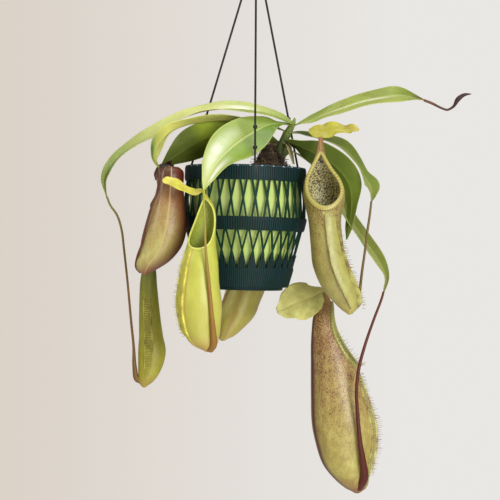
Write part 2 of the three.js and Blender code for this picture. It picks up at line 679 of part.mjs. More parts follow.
// The mix fills the liner and rises in a rough mound round the stem
const MIX_SIDES = 20;
function growingMix() {
  const { bottom, middle, top, footRadius, middleRadius, topRadius, wall } = LINER;
  const floor = bottom + wall + GAP;
  const inside = (radius) => radius - wall - GAP - 0.6;
  const surface = (x, y) => {
    const mound = Math.exp(-(((x - MOUND.x) / MOUND.spreadX) ** 2) - ((y - MOUND.y) / MOUND.spreadY) ** 2);
    const rough = Math.sin(0.41 * x + 0.9) * Math.cos(0.37 * y) + 0.8 * Math.sin(0.83 * x - 0.61 * y);
    return MIX_LEVEL - 5 + MOUND.height * 1.15 * mound + rough;
  };
  const ring = (radius, height) => Array.from({ length: MIX_SIDES }, (_, i) => {
    const turn = (2 * Math.PI * i) / MIX_SIDES;
    const [x, y] = [radius * Math.sin(turn), -radius * Math.cos(turn)];
    return new THREE.Vector3(x, y, height ?? surface(x, y));
  });
  const domed = [3, 12, 20, 29, 39, 52].map((radius) => ring(radius));
  const sides = [[topRadius - 1, top - 8], [middleRadius, middle], [footRadius, floor]];
  return loft([...domed, ...sides.map(([radius, height]) => ring(inside(radius), height))]);
}

// The hanger's hook and hub: a rod that rises from the hub, bends aside and turns over in an arc
function hangerHook() {
  const arm = HOOK_INNER_RADIUS + HOOK_ROD;
  const rows = [[0, 0, HUB_HEIGHT + 1, HOOK_ROD], [0, 0, HUB_HEIGHT + 7, HOOK_ROD],
    [arm * 0.55, 0, HUB_HEIGHT + 15, HOOK_ROD]];
  for (let turn = 0; turn <= 215; turn += 30) {
    const height = arm * Math.sin(turn * DEGREES) - HOOK_INNER_RADIUS;
    rows.push([arm * Math.cos(turn * DEGREES), 0, height, HOOK_ROD]);
  }
  const hub = lathe([[0, -4], [HUB_RADIUS - 1, -4], [HUB_RADIUS, -2], [HUB_RADIUS, 3], [2, 5], [0, 5]], 10)
    .translate(0, 0, HUB_HEIGHT);
  return join([rod(rows, 6, 20), hub]);
}

const potPlace = new THREE.Matrix4().makeRotationY(POT_LEAN).setPosition(POT_BASE);

// A strand: a clip that sits over the pot's rim, a thin rod up to the hub and small beads on it
function hangerStrand({ turn, beads }) {
  const outer = potRadius(POT_HEIGHT) + GAP;
  const inner = potRadius(POT_HEIGHT) - POT_WALL - CLIP.play;
  const lid = POT_HEIGHT + GAP;
  const outline = new THREE.Shape([
    [inner - CLIP.plate, POT_HEIGHT - CLIP.inside], [inner, POT_HEIGHT - CLIP.inside], [inner, lid],
    [outer, lid], [outer, POT_HEIGHT - CLIP.outside], [outer + CLIP.plate, POT_HEIGHT - CLIP.outside],
    [outer + CLIP.plate, lid + CLIP.plate], [inner - CLIP.plate, lid + CLIP.plate],
  ].map(([r, z]) => new THREE.Vector2(r, z)));
  const clip = new THREE.ExtrudeGeometry(outline, { depth: CLIP.width, bevelEnabled: false })
    .translate(0, 0, -CLIP.width / 2)
    .rotateX(Math.PI / 2)
    .rotateZ((turn - 90) * DEGREES)
    .applyMatrix4(potPlace);
  const around = turn * DEGREES;
  const middle = (inner + outer) / 2;
  const foot = new THREE.Vector3(middle * Math.sin(around), -middle * Math.cos(around), lid + 0.8)
    .applyMatrix4(potPlace);
  const away = new THREE.Vector3(Math.sin(around), -Math.cos(around), 0);
  const head = away.clone().multiplyScalar(HUB_RADIUS + GAP + STRAND_RADIUS).setZ(HUB_HEIGHT);
  const section = new THREE.Shape().absarc(0, 0, STRAND_RADIUS, 0, 2 * Math.PI);
  const line = new THREE.ExtrudeGeometry(section, {
    steps: 1, curveSegments: 3, bevelEnabled: false, extrudePath: new THREE.LineCurve3(foot, head),
  });
  const knots = beads.map((share) => {
    const place = foot.clone().lerp(head, share);
    return new THREE.SphereGeometry(BEAD_RADIUS, 6, 4).translate(place.x, place.y, place.z);
  });
  return join([clip, line, ...knots]);
}

function finish(colour, roughness) {
  return new THREE.MeshStandardMaterial({ color: colour, roughness, metalness: 0 });
}

// The point just past the tip of a leaf, and the tip's radius
function tipOf(leaf) {
  const tip = new RowCurve(leaf.rows).at(1);
  return [...tip.place.addScaledVector(tip.along, GAP).toArray(), leaf.rows.at(-1)[3]];
}

// Growing pieces are added from the stem outwards, and each is cut clear of those before it
const grown = [];
function growPiece(name, geometry, grownGeometry) {
  const box = new THREE.Box3().setFromBufferAttribute(grownGeometry.attributes.position);
  const near = grown.filter((other) => other.box.intersectsBox(box)).map((other) => other.geometry);
  const clear = near.length ? cut(geometry, near) : geometry;
  grown.push({ name, box, geometry: grownGeometry });
  return clear;
}

const plant = new THREE.Group();
function addPiece(parent, name, geometry, colour, roughness) {
  const mesh = new THREE.Mesh(geometry, finish(colour, roughness));
  mesh.name = name;
  parent.add(mesh);
}

addPiece(plant, 'stem', growPiece('stem', rod(STEM, 8, 10), rod(STEM, 8, 10, GAP)), 0x6a5a34, 0.7);

for (const [name, leaf] of Object.entries(LEAVES)) {
  const steps = Math.min(LEAF_STEPS, 2 * (leaf.rows.length - 1));
  const geometry = growPiece(name, blade(leaf, steps), blade(leaf, steps, GAP));
  addPiece(plant, name, geometry, leaf.colour, 0.5);
}

for (const [name, tendril] of Object.entries(TENDRILS)) {
  const rows = [tipOf(LEAVES[tendril.from]), ...tendril.rows];
  const steps = Math.round(1.6 * (rows.length - 1));
  const geometry = growPiece(name, rod(rows, 6, steps), rod(rows, 6, steps, GAP));
  addPiece(plant, name, geometry, tendril.colour, 0.6);
}

for (const [name, pitcher] of Object.entries(PITCHERS)) {
  const geometry = growPiece(name, pitcherGeometry(pitcher), pitcherBody(pitcher, GAP));
  addPiece(plant, name, geometry, pitcher.colour, 0.5);
}

// The row that starts a lid on the tip of its pitcher's neck
function neckRow(lid) {
  const [z, left, right, y] = PITCHERS[lid.on].rows.at(-1);
  return [(left + right) / 2, y, z + 1, (right - left) / 2 - 0.4, lid.rows[0][4]];
}

for (const [name, lid] of Object.entries(LIDS)) {
  const whole = lid.over ? lid : { ...lid, rows: [neckRow(lid), ...lid.rows] };
  const geometry = growPiece(name, blade(whole, LID_STEPS), blade(whole, LID_STEPS, GAP));
  addPiece(plant, name, geometry, lid.colour, 0.5);
}

const pot = new THREE.Group();
pot.applyMatrix4(potPlace);
plant.add(pot);
const toPot = potPlace.clone().invert();
const rooted = grown.filter(({ name }) => ['stem', 'old_leaf'].includes(name))
  .map(({ geometry }) => geometry.clone().applyMatrix4(toPot));
addPiece(pot, 'lattice_pot', latticePot(), 0x2b383b, 0.55);
addPiece(pot, 'liner_pot', linerPot(), 0xd6e391, 0.6);
addPiece(pot, 'growing_mix', cut(growingMix(), rooted), 0x47352a, 0.95);

addPiece(plant, 'hanger_hook', hangerHook(), 0x2b383b, 0.55);
for (const [side, strand] of Object.entries(STRANDS)) {
  addPiece(plant, `hanger_strand_${side}`, hangerStrand(strand), 0x2b383b, 0.55);
}

export default plant;
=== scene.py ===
import math
import random

import bpy
from mathutils import Matrix, Vector


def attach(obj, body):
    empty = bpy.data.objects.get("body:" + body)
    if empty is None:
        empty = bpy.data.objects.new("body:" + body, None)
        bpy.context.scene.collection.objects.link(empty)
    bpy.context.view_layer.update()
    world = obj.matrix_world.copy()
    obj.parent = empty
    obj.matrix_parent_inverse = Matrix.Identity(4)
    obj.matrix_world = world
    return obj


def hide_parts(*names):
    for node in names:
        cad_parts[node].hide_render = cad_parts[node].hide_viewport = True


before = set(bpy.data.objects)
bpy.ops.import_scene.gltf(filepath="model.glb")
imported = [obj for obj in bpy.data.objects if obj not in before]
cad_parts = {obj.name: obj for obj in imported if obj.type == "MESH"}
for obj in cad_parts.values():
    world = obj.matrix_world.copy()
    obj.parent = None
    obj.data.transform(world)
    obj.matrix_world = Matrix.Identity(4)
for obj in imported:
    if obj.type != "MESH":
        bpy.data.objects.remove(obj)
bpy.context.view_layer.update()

# Lattice pot. The outer pot is one moulding in dark blue-green plastic: three finely ribbed bands
# joined by two rows of crossed bars, on a flat base with a small step. It hangs tilted by 1.5 degrees.
# One of its 32 equal parts is modelled flat, then bent to the wall and repeated all round.
MM = 0.001
POT_BASE = Vector((-14.9, 0, -430.3))
POT_LEAN = math.radians(1.5)
POT_STAND = Matrix.Translation(POT_BASE) @ Matrix.Rotation(POT_LEAN, 4, "Y")
POT_PLACE = Matrix.Scale(MM, 4) @ POT_STAND
POT_PROFILE = [(4, 50.6), (24, 56), (68.5, 67.2), (84, 70.4), (103, 70), (124, 67.8), (140, 67.6)]
# bands: low and high edge, and their levels. Bars: place round the cross and height of both their ends
BANDS = [(4, 25.5, 8), (68, 82.4, 6), (123.6, 140, 6)]
BARS = [(0.21, 81, 0.79, 125), (0.03, 70, 0.97, 21)]
BAR_ROWS = [(39, 68), (82.4, 123.6)]  # the heights where the bars are painted greener: painted light from the pale liner behind them
WEB_FOOT, WEB_HEIGHT = 24, 16.5
CROSSES, CROSS_WIDTH, FIRST_CROSS = 32, 13.4, math.radians(1.3)
RIBS_A_CROSS, RIB_HEIGHT, RIB_END = 5, 0.75, 1.2
BAR_WIDTH, BAR_DEPTH, BAND_WALL = 2.3, 1.7, 1.7


def clear_choice():
    bpy.ops.object.select_all(action="DESELECT")


def choose(*pieces):
    clear_choice()
    for piece in pieces:
        piece.select_set(True)
    bpy.context.view_layer.objects.active = pieces[0]


def named(name):
    piece = bpy.context.object
    piece.name = piece.data.name = name
    return piece


def apply_modifier(piece, kind, **settings):
    choose(piece)
    modifier = piece.modifiers.new(kind.title(), kind)
    for setting, value in settings.items():
        setattr(modifier, setting, value)
    bpy.ops.object.modifier_apply(modifier=modifier.name)


def close_seams(piece, distance=0.02):
    choose(piece)
    bpy.ops.object.mode_set(mode="EDIT")
    bpy.ops.mesh.select_all(action="SELECT")
    bpy.ops.mesh.remove_doubles(threshold=distance)
    bpy.ops.mesh.normals_make_consistent(inside=False)
    bpy.ops.object.mode_set(mode="OBJECT")


def lay_grid(name, across, along, place):
    """A grid whose points are moved to their places on a surface, by their shares across and along"""
    clear_choice()
    bpy.ops.mesh.primitive_grid_add(x_subdivisions=across, y_subdivisions=along, size=1)
    sheet = named(name)
    for point in sheet.data.vertices:
        point.co = place(point.co.x + 0.5, point.co.y + 0.5)
    return sheet


def join_pieces(name, pieces):
    choose(*pieces)
    bpy.ops.object.join()
    return named(name)


def finish_piece(piece, slot, material, *nodes, smooth=True, placing=Matrix.Scale(MM, 4)):
    """Takes a piece from millimetres to its place, gives it its finish and ties it to the frame"""
    piece.data.transform(placing)
    if not piece.data.materials:
        piece.data.materials.append(material)
    choose(piece)
    if smooth:
        bpy.ops.object.shade_smooth()
    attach(piece, "root")
    if nodes:
        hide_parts(*nodes)
    return piece


def round_spot(radius, turn, height):
    """A point at a turn about the upright axis, counted from the front, where +90 degrees faces +X"""
    return Vector((radius * math.sin(turn), -radius * math.cos(turn), height))


def pot_radius(height):
    for (z0, r0), (z1, r1) in zip(POT_PROFILE, POT_PROFILE[1:]):
        if height <= z1:
            return r0 + (r1 - r0) * (height - z0) / (z1 - z0)
    return POT_PROFILE[-1][1]


def flat_band(low, high, levels):
    """A ribbed band for one cross, flat: x is the share of the period, y the depth, z the height"""
    def place(u, v):
        rib = RIB_HEIGHT * max(0, math.cos(2 * math.pi * RIBS_A_CROSS * u)) ** 0.7
        height = low + (high - low) * v
        edge = min(height - low, high - height)
        return Vector((u, rib * min(1, edge / RIB_END) - 0.35, height))
    return lay_grid("band", RIBS_A_CROSS * 6, levels, place)


def flat_bar(u0, z0, u1, z1):
    """A crossed bar of the lattice, flat, with its front edges rounded"""
    clear_choice()
    bpy.ops.mesh.primitive_cube_add(size=1)
    bar = named("bar")
    bpy.ops.object.mode_set(mode="EDIT")
    bpy.ops.mesh.select_all(action="SELECT")
    bpy.ops.mesh.bevel(offset=0.14, segments=2, affect="EDGES", clamp_overlap=True)
    bpy.ops.object.mode_set(mode="OBJECT")
    length = math.hypot((u1 - u0) * CROSS_WIDTH, z1 - z0)
    tilt = math.atan2((u1 - u0) * CROSS_WIDTH, z1 - z0)
    for point in bar.data.vertices:
        x, y, z = point.co.x * BAR_WIDTH, point.co.y * BAR_DEPTH, point.co.z * length
        side = x * math.cos(tilt) + z * math.sin(tilt)
        rise = z * math.cos(tilt) - x * math.sin(tilt)
        share, height = (u0 + u1) / 2 + side / CROSS_WIDTH, (z0 + z1) / 2 + rise
        point.co = Vector((share, y - BAR_DEPTH / 2 - 0.05, height))
    apply_modifier(bar, "SUBSURF", levels=1, render_levels=1, subdivision_type="SIMPLE")
    return bar


def flat_web():
    """The thin web that fills the foot of each lower crossing"""
    def place(u, v):
        half = 0.5 - 0.38 * v
        return Vector((0.5 + (2 * u - 1) * half, -0.9, WEB_FOOT + WEB_HEIGHT * v))
    return lay_grid("web", 4, 4, place)


flats = [flat_band(*band) for band in BANDS] + [flat_web()]
for plate in flats:
    apply_modifier(plate, "SOLIDIFY", thickness=BAND_WALL, offset=-1)
for u0, z0, u1, z1 in BARS:
    flats += [flat_bar(u0, z0, u1, z1), flat_bar(u1, z0, u0, z1)]
flat_part = join_pieces("lattice_part", flats)
lattice_parts = []
for period in range(CROSSES):
    part = flat_part.copy()
    part.data = flat_part.data.copy()
    bpy.context.collection.objects.link(part)
    for point in part.data.vertices:
        share, depth, height = point.co
        turn = (period + share - 0.5) / CROSSES * 2 * math.pi - FIRST_CROSS
        point.co = round_spot(pot_radius(max(BANDS[0][0], height)) + depth, turn, height)
    lattice_parts.append(part)
bpy.data.objects.remove(flat_part)


def turned_ring(name, outline, sides):
    """A closed ring turned round the pot's middle from an outline of radius and height"""
    count = len(outline)

    def place(u, v):
        radius, height = outline[round(v * count) % count]
        return round_spot(radius, 2 * math.pi * u, height)

    ring = lay_grid(name, sides, count, place)
    close_seams(ring)
    return ring


pot_base = turned_ring("pot_base", [
    (0, 0.2), (30, 0.2), (34, 0), (45, 0), (46, 0.8), (46.2, 4.2), (50, 4.4), (50.3, 5.4), (46, 6),
    (45, 3.2), (0, 3.2),
], 128)
pot_lip = turned_ring("pot_lip", [
    (67.6, 137.8), (68.7, 138), (69.1, 139.1), (68.6, 140.2), (66.6, 140.4), (65.6, 139.6), (65.7, 138.4),
], 128)

lattice_parts.append(pot_base)
lattice = join_pieces("pot_lattice", lattice_parts)


def tint(red, green, blue):
    """A paint-chip colour, 0 to 255, as the shader's own light values"""
    return tuple(((c / 255 + 0.055) / 1.055) ** 2.4 for c in (red, green, blue)) + (1.0,)


def add_node(tree, kind, inputs=None, **settings):
    """A shader node; its inputs are given as values or as the sockets that feed them"""
    node = tree.nodes.new("ShaderNode" + kind)
    for setting, value in settings.items():
        setattr(node, setting, value)
    for key, value in (inputs or {}).items():
        if isinstance(value, bpy.types.NodeSocket):
            tree.links.new(value, node.inputs[key])
        else:
            node.inputs[key].default_value = value
    return node


def blend(tree, share, first, second, how="MIX"):
    """Mixes two colours by a share, each a value or a socket"""
    mix = tree.nodes.new("ShaderNodeMix")
    mix.data_type, mix.blend_type = "RGBA", how
    for index, value in ((0, share), (6, first), (7, second)):
        if isinstance(value, bpy.types.NodeSocket):
            tree.links.new(value, mix.inputs[index])
        else:
            mix.inputs[index].default_value = value
    return mix.outputs[2]


def between(tree, value, low, high):
    """Where a value lies between two limits, as 0 to 1"""
    return add_node(tree, "MapRange", {"Value": value, "From Min": low, "From Max": high}).outputs[0]


def sums(tree, how, *values):
    inputs = dict(enumerate(values))
    return add_node(tree, "Math", inputs, operation=how).outputs[0]


def times(tree, first, second):
    return sums(tree, "MULTIPLY", first, second)


def new_finish(name, **sockets):
    """A material with its own values on the shader's sockets"""
    material = bpy.data.materials.new(name)
    material.use_nodes = True
    tree = material.node_tree
    shader = tree.nodes["Principled BSDF"]
    for socket, value in sockets.items():
        shader.inputs[socket.replace("_", " ")].default_value = value
    return material, tree, shader


def grain_group():
    """Fine uneven colour and height over a surface, at a given size of grain"""
    group = bpy.data.node_groups.new("uneven_surface", "ShaderNodeTree")
    group.interface.new_socket("Size", in_out="INPUT", socket_type="NodeSocketFloat")
    group.interface.new_socket("Stretch", in_out="INPUT", socket_type="NodeSocketVector")
    group.interface.new_socket("Share", in_out="OUTPUT", socket_type="NodeSocketFloat")
    group.interface.new_socket("Height", in_out="OUTPUT", socket_type="NodeSocketFloat")
    inside = add_node(group, "TexCoord").outputs["Object"]
    given = group.nodes.new("NodeGroupInput")
    stretched = add_node(group, "VectorMath", {0: inside, 1: given.outputs["Stretch"]}, operation="MULTIPLY")
    spot = stretched.outputs[0]
    broad = add_node(group, "TexNoise", {"Vector": spot, "Scale": given.outputs["Size"],
                                         "Detail": 4, "Roughness": 0.6}).outputs["Fac"]
    finer = times(group, given.outputs["Size"], 6)
    fine = add_node(group, "TexNoise", {"Vector": spot, "Scale": finer, "Detail": 3}).outputs["Fac"]
    out = group.nodes.new("NodeGroupOutput")
    group.links.new(between(group, broad, 0.32, 0.68), out.inputs["Share"])
    group.links.new(fine, out.inputs["Height"])
    return group


uneven_surface = grain_group()


def place_group(tree, group, **inputs):
    node = tree.nodes.new("ShaderNodeGroup")
    node.node_tree = group
    for key, value in inputs.items():
        node.inputs[key].default_value = value
    return node


def map_shares(tree):
    """The two shares of the way over a surface that its own UV map gives"""
    split = add_node(tree, "SeparateXYZ", {0: add_node(tree, "TexCoord").outputs["UV"]})
    return split.outputs[0], split.outputs[1]


def raise_bump(tree, shader, height, strength, distance):
    bump = add_node(tree, "Bump", {"Height": height, "Strength": strength, "Distance": distance})
    tree.links.new(bump.outputs[0], shader.inputs["Normal"])


def moulded_plastic(name, body, worn, roughness, size=60):
    """Moulded plastic: slightly uneven in colour, a little scuffed, with a soft moulded grain"""
    material, tree, shader = new_finish(name, IOR=1.4, Specular_IOR_Level=0.2)
    uneven = place_group(tree, uneven_surface, Size=size, Stretch=(1, 1, 1))
    share, height = uneven.outputs["Share"], uneven.outputs["Height"]
    tree.links.new(blend(tree, share, body, worn), shader.inputs["Base Color"])
    rough = add_node(tree, "MapRange", {"Value": height, "To Min": roughness - 0.08,
                                        "To Max": roughness + 0.12}).outputs[0]
    tree.links.new(rough, shader.inputs["Roughness"])
    raise_bump(tree, shader, height, 0.12, 0.0004)
    return material


def from_pot_base(tree):
    """Where a point lies from the middle of the leaning pot's base, as x, y and height in metres"""
    spot = add_node(tree, "TexCoord").outputs["Object"]
    upright = add_node(tree, "VectorRotate", {"Vector": spot, "Center": POT_BASE * MM, "Angle": -POT_LEAN},
                       rotation_type="Y_AXIS").outputs[0]
    offset = add_node(tree, "VectorMath", {0: upright, 1: POT_BASE * MM}, operation="SUBTRACT").outputs[0]
    return add_node(tree, "SeparateXYZ", {0: offset}).outputs


def rib_share(tree, x, y):
    """How far out on a rib of the bands a point lies, from its turn about the pot's middle"""
    turn = sums(tree, "ARCTAN2", x, times(tree, y, -1))
    periods = times(tree, sums(tree, "ADD", turn, FIRST_CROSS + math.pi / CROSSES), RIBS_A_CROSS * CROSSES)
    return between(tree, sums(tree, "COSINE", periods), -0.5, 0.6)


def bar_share(tree, height):
    """1 on the two rows of crossed bars, 0 on the bands"""
    rows = [sums(tree, "COMPARE", height, (low + high) / 2 * MM, (high - low) / 2 * MM)
            for low, high in BAR_ROWS]
    return sums(tree, "MAXIMUM", *rows)


pot_plastic = moulded_plastic("pot_plastic", tint(18, 50, 40), tint(24, 54, 60), 0.5)
pot_tree = pot_plastic.node_tree
pot_shader = pot_tree.nodes["Principled BSDF"]
pot_colour = pot_shader.inputs["Base Color"].links[0].from_socket
pot_x, pot_y, pot_height = from_pot_base(pot_tree)
# The flat grooves between the bands' ribs are painted nearly black: painted shade in the grooves.
groove_shaded = blend(pot_tree, rib_share(pot_tree, pot_x, pot_y), tint(6, 14, 14), pot_colour)
# The crossed bars are painted greener than the bands: painted light that the pale liner throws on them.
pot_tree.links.new(blend(pot_tree, bar_share(pot_tree, pot_height), groove_shaded, tint(15, 50, 34)),
                   pot_shader.inputs["Base Color"])
finish_piece(lattice, "pot_plastic", pot_plastic, "lattice_pot", smooth=False, placing=POT_PLACE)
bpy.ops.object.shade_smooth_by_angle(angle=math.radians(50))
# The lip is the pot's plastic painted far paler: a painted highlight along its rounded top edge.
lip_painted_highlight = moulded_plastic("lip_painted_highlight", tint(96, 120, 126), tint(136, 156, 162), 0.36)
finish_piece(pot_lip, "pot_plastic", lip_painted_highlight, placing=POT_PLACE)

# Liner pot. A thin round nursery pot in pale yellow-green plastic that stands in the lattice pot and
# shows through it. It has a rolled top edge and a flat floor.
LINER_OUTLINE = [
    (0, 3.3), (42.8, 3.3), (43.8, 4.2), (53.3, 41), (61.4, 76), (62.6, 84), (64.4, 124), (65, 129.6),
    (65, 131.6), (64.4, 132), (63.6, 131.6), (63.2, 124), (61.4, 84), (60.2, 76), (52.1, 41), (42.6, 5),
    (0, 4.6),
]
liner = turned_ring("liner_wall", LINER_OUTLINE, 128)
liner_plastic = moulded_plastic("liner_plastic", tint(170, 192, 94), tint(190, 208, 128), 0.5, size=25)
finish_piece(liner, "liner_plastic", liner_plastic, "liner_pot", smooth=False, placing=POT_PLACE)
bpy.ops.object.shade_smooth_by_angle(angle=math.radians(35))

# Growing mix. Damp bark chips and long moss fibres, heaped round the foot of the stem. A rough bed
# fills the liner; the chips that lie on top are pieces of their own, joined to it, and the fibres are joined
# into one piece of their own.
MOUND = {"x": 28, "y": 3, "rise": 37, "spread_x": 18, "spread_y": 21}
MIX_EDGE, MIX_LEVEL, BED_DEPTH = 61.6, 128, 3
EDGE_FROM, EDGE_DROP = 0.93, 9
CHIPS, CHIP_REACH, CHIP_EDGE = 260, 58, 57
FIBRES, FIBRE_EDGE = 420, 56
chance = random.Random(7)


def mix_level(x, y):
    """How high the mix stands: a level bed with one mound, a little rough all over"""
    across, deep = (x - MOUND["x"]) / MOUND["spread_x"], (y - MOUND["y"]) / MOUND["spread_y"]
    rough = math.sin(0.41 * x + 0.9) * math.cos(0.37 * y) + 0.8 * math.sin(0.83 * x - 0.61 * y)
    return MIX_LEVEL + MOUND["rise"] * math.exp(-across ** 2 - deep ** 2) + rough


def mix_place(u, v):
    turn, radius = 2 * math.pi * u, MIX_EDGE * v
    x, y = radius * math.sin(turn), -radius * math.cos(turn)
    lumps = 0.9 * math.sin(1.9 * x + 1.1 * y) * math.sin(1.3 * y - 0.7 * x)
    lumps += 0.6 * math.sin(3.1 * x) * math.sin(2.7 * y)
    drop = EDGE_DROP * max(0, v - EDGE_FROM) / (1 - EDGE_FROM)
    return Vector((x, y, mix_level(x, y) + lumps - drop))


bed = lay_grid("bed", 110, 46, mix_place)
close_seams(bed)
apply_modifier(bed, "SOLIDIFY", thickness=BED_DEPTH, offset=-1)

clear_choice()
bpy.ops.mesh.primitive_cube_add(size=1)
chip = named("chip")
bpy.ops.object.mode_set(mode="EDIT")
bpy.ops.mesh.select_all(action="SELECT")
bpy.ops.mesh.subdivide(number_cuts=1)
bpy.ops.transform.vertex_random(offset=0.16, uniform=0.1, normal=0, seed=3)
bpy.ops.object.mode_set(mode="OBJECT")

clear_choice()
bpy.ops.mesh.primitive_cone_add(vertices=4, radius1=1, radius2=0.35, depth=1)
fibre = named("fibre")
bpy.ops.object.mode_set(mode="EDIT")
for height in (-0.3, -0.1, 0.1, 0.3):
    bpy.ops.mesh.select_all(action="SELECT")
    bpy.ops.mesh.bisect(plane_co=(0, 0, height), plane_no=(0, 0, 1))
bpy.ops.object.mode_set(mode="OBJECT")
for point in fibre.data.vertices:
    point.co.x *= 0.02
    point.co.y *= 0.02
    point.co.x += 0.25 * (0.25 - point.co.z ** 2)


def copy_of(model, transform):
    piece = model.copy()
    piece.data = model.data.copy()
    bpy.context.collection.objects.link(piece)
    piece.data.transform(transform)
    return piece


def turned(chance, tilt):
    """Any turn about the upright axis, with a small tilt"""
    return (Matrix.Rotation(chance.uniform(0, 2 * math.pi), 4, "Z")
            @ Matrix.Rotation(chance.gauss(0, tilt), 4, "X") @ Matrix.Rotation(chance.gauss(0, tilt), 4, "Y"))


litter, fibres = [], []
for _ in range(CHIPS):
    near = chance.random() < 0.62
    if near:
        x, y = chance.gauss(MOUND["x"], 12), chance.gauss(MOUND["y"], 15)
    else:
        turn, radius = chance.uniform(0, 2 * math.pi), CHIP_REACH * math.sqrt(chance.random())
        x, y = radius * math.sin(turn), radius * math.cos(turn)
    if math.hypot(x, y) > CHIP_EDGE:
        continue
    size = Matrix.Diagonal((chance.uniform(4, 9), chance.uniform(2.5, 5), chance.uniform(1.2, 2.6), 1))
    spot = Matrix.Translation((x, y, mix_level(x, y) + 0.6))
    litter.append(copy_of(chip, spot @ turned(chance, 0.5) @ size))
for _ in range(FIBRES):
    x, y = chance.gauss(MOUND["x"], 13), chance.gauss(MOUND["y"], 15)
    if math.hypot(x, y) > FIBRE_EDGE:
        continue
    length = chance.uniform(9, 24)
    size = Matrix.Diagonal((length, length, length, 1))
    spot = Matrix.Translation((x, y, mix_level(x, y) + 1.2))
    fibres.append(copy_of(fibre, spot @ turned(chance, 0.8) @ Matrix.Rotation(1.3, 4, "X") @ size))
bpy.data.objects.remove(chip)
bpy.data.objects.remove(fibre)

mix_finish, tree, shader = new_finish("growing_mix", Roughness=0.9)
uneven = place_group(tree, uneven_surface, Size=160, Stretch=(1, 1, 1.6))
damp = blend(tree, uneven.outputs["Share"], tint(16, 11, 9), tint(56, 42, 29))
streak = place_group(tree, uneven_surface, Size=420, Stretch=(1, 2, 1))
tree.links.new(blend(tree, streak.outputs["Share"], damp, tint(60, 50, 28)), shader.inputs["Base Color"])
raise_bump(tree, shader, uneven.outputs["Height"], 0.8, 0.0015)
mix = join_pieces("mix_heap", [bed] + litter)
finish_piece(mix, "growing_mix", mix_finish, "growing_mix", smooth=False, placing=POT_PLACE)
fibre_finish, tree, shader = new_finish("moss_fibre", Roughness=0.7)
uneven = place_group(tree, uneven_surface, Size=120, Stretch=(1, 1, 1))
dry = blend(tree, uneven.outputs["Share"], tint(32, 22, 16), tint(142, 112, 82))
tree.links.new(dry, shader.inputs["Base Color"])
finish_piece(join_pieces("moss_fibres", fibres), "growing_mix", fibre_finish, placing=POT_PLACE)

# Stem. A short woody climbing stem that rises out of the mix, thickest at its foot, ringed where old
# leaves have come off, and ending in the green growing point.
STEM = [  # x, y, z, radius
    (19, 4, -310, 5), (23, 4, -290, 5), (27, 3, -273, 5), (33, 1, -258, 4.8),
    (39, -1, -247, 4.2), (43, -2, -240, 3), (44.5, -3, -236, 1.7), (45, -3, -233, 0.6),
]
GREEN_FROM, GREEN_AT = -262, -236
FRONT = Vector((0, -1, 0))


def through(points, share, centripetal=True):
    """The point at a share of the way along a smooth curve that passes through some points"""
    last = len(points) - 1
    step = min(int(share * last), last - 1)
    part = share * last - step
    p1, p2 = points[step], points[step + 1]
    p0 = points[step - 1] if step > 0 else 2 * p1 - p2
    p3 = points[step + 2] if step + 2 <= last else 2 * p2 - p1
    if centripetal:
        d0, d1, d2 = (max((b - a).length, 1e-4) ** 0.5 for a, b in ((p0, p1), (p1, p2), (p2, p3)))
        t1 = ((p1 - p0) / d0 - (p2 - p0) / (d0 + d1) + (p2 - p1) / d1) * d1
        t2 = ((p2 - p1) / d1 - (p3 - p1) / (d1 + d2) + (p3 - p2) / d2) * d1
    else:
        t1, t2 = (p2 - p0) / 2, (p3 - p1) / 2
    c2 = -3 * p1 + 3 * p2 - 2 * t1 - t2
    c3 = 2 * p1 - 2 * p2 + t1 + t2
    return p1 + t1 * part + c2 * part ** 2 + c3 * part ** 3


def along_rows(rows, share):
    """Place, direction and the row's other two values at a share of the way along some rows"""
    places = [Vector(row[:3]) for row in rows]
    values = [Vector((row[3], row[4] if len(row) > 4 else 0, 0)) for row in rows]
    ahead = through(places, min(1, share + 1e-4)) - through(places, max(0, share - 1e-4))
    value = through(values, share, centripetal=False)
    return through(places, share), ahead.normalized(), value.x, value.y


def rod_rings(rows, steps):
    """Rings along a round tapering rod: middle and two radius vectors each"""
    rings, side = [], Vector((1, 0, 0))
    for k in range(steps + 1):
        place, along, radius, _ = along_rows(rows, k / steps)
        side = side - along * side.dot(along)
        if side.length < 0.1:
            side = along.cross(FRONT)
        side.normalize()
        rings.append((place, side * radius, along.cross(side) * radius))
    return rings


def lay_tube(name, sides, rings, loop=False):
    """A tube skinned over rings, closed at both ends or back onto itself"""
    if loop:
        rings = rings + rings[:1]
    else:
        rings = [(rings[0][0], Vector(), Vector())] + rings + [(rings[-1][0], Vector(), Vector())]
    steps = len(rings) - 1

    def place(u, v):
        middle, side, up = rings[round(v * steps)]
        return middle + side * math.cos(2 * math.pi * u) + up * math.sin(2 * math.pi * u)

    tube = lay_grid(name, sides, steps, place)
    close_seams(tube, 0.004)
    return tube


def ringed(rings, rings_each, rise):
    """Rings swollen a little at even steps, like leaf scars"""
    swollen = []
    for k, (place, side, up) in enumerate(rings):
        swell = 1 + rise * max(0, math.sin(math.pi * k / rings_each)) ** 6
        swollen.append((place, side * swell, up * swell))
    return swollen


stem = lay_tube("stem_bark", 24, ringed(rod_rings(STEM, 72), 8, 0.16))
stem_finish, tree, shader = new_finish("stem_bark", Roughness=0.65)
uneven = place_group(tree, uneven_surface, Size=90, Stretch=(1, 1, 0.5))
bark = blend(tree, uneven.outputs["Share"], tint(52, 66, 20), tint(86, 100, 36))
spot = add_node(tree, "SeparateXYZ", {0: add_node(tree, "TexCoord").outputs["Object"]})
tip = between(tree, spot.outputs[2], GREEN_FROM * MM, GREEN_AT * MM)
tree.links.new(blend(tree, tip, bark, tint(112, 128, 48)), shader.inputs["Base Color"])
raise_bump(tree, shader, uneven.outputs["Height"], 0.5, 0.001)
finish_piece(stem, "stem_bark", stem_finish, "stem")

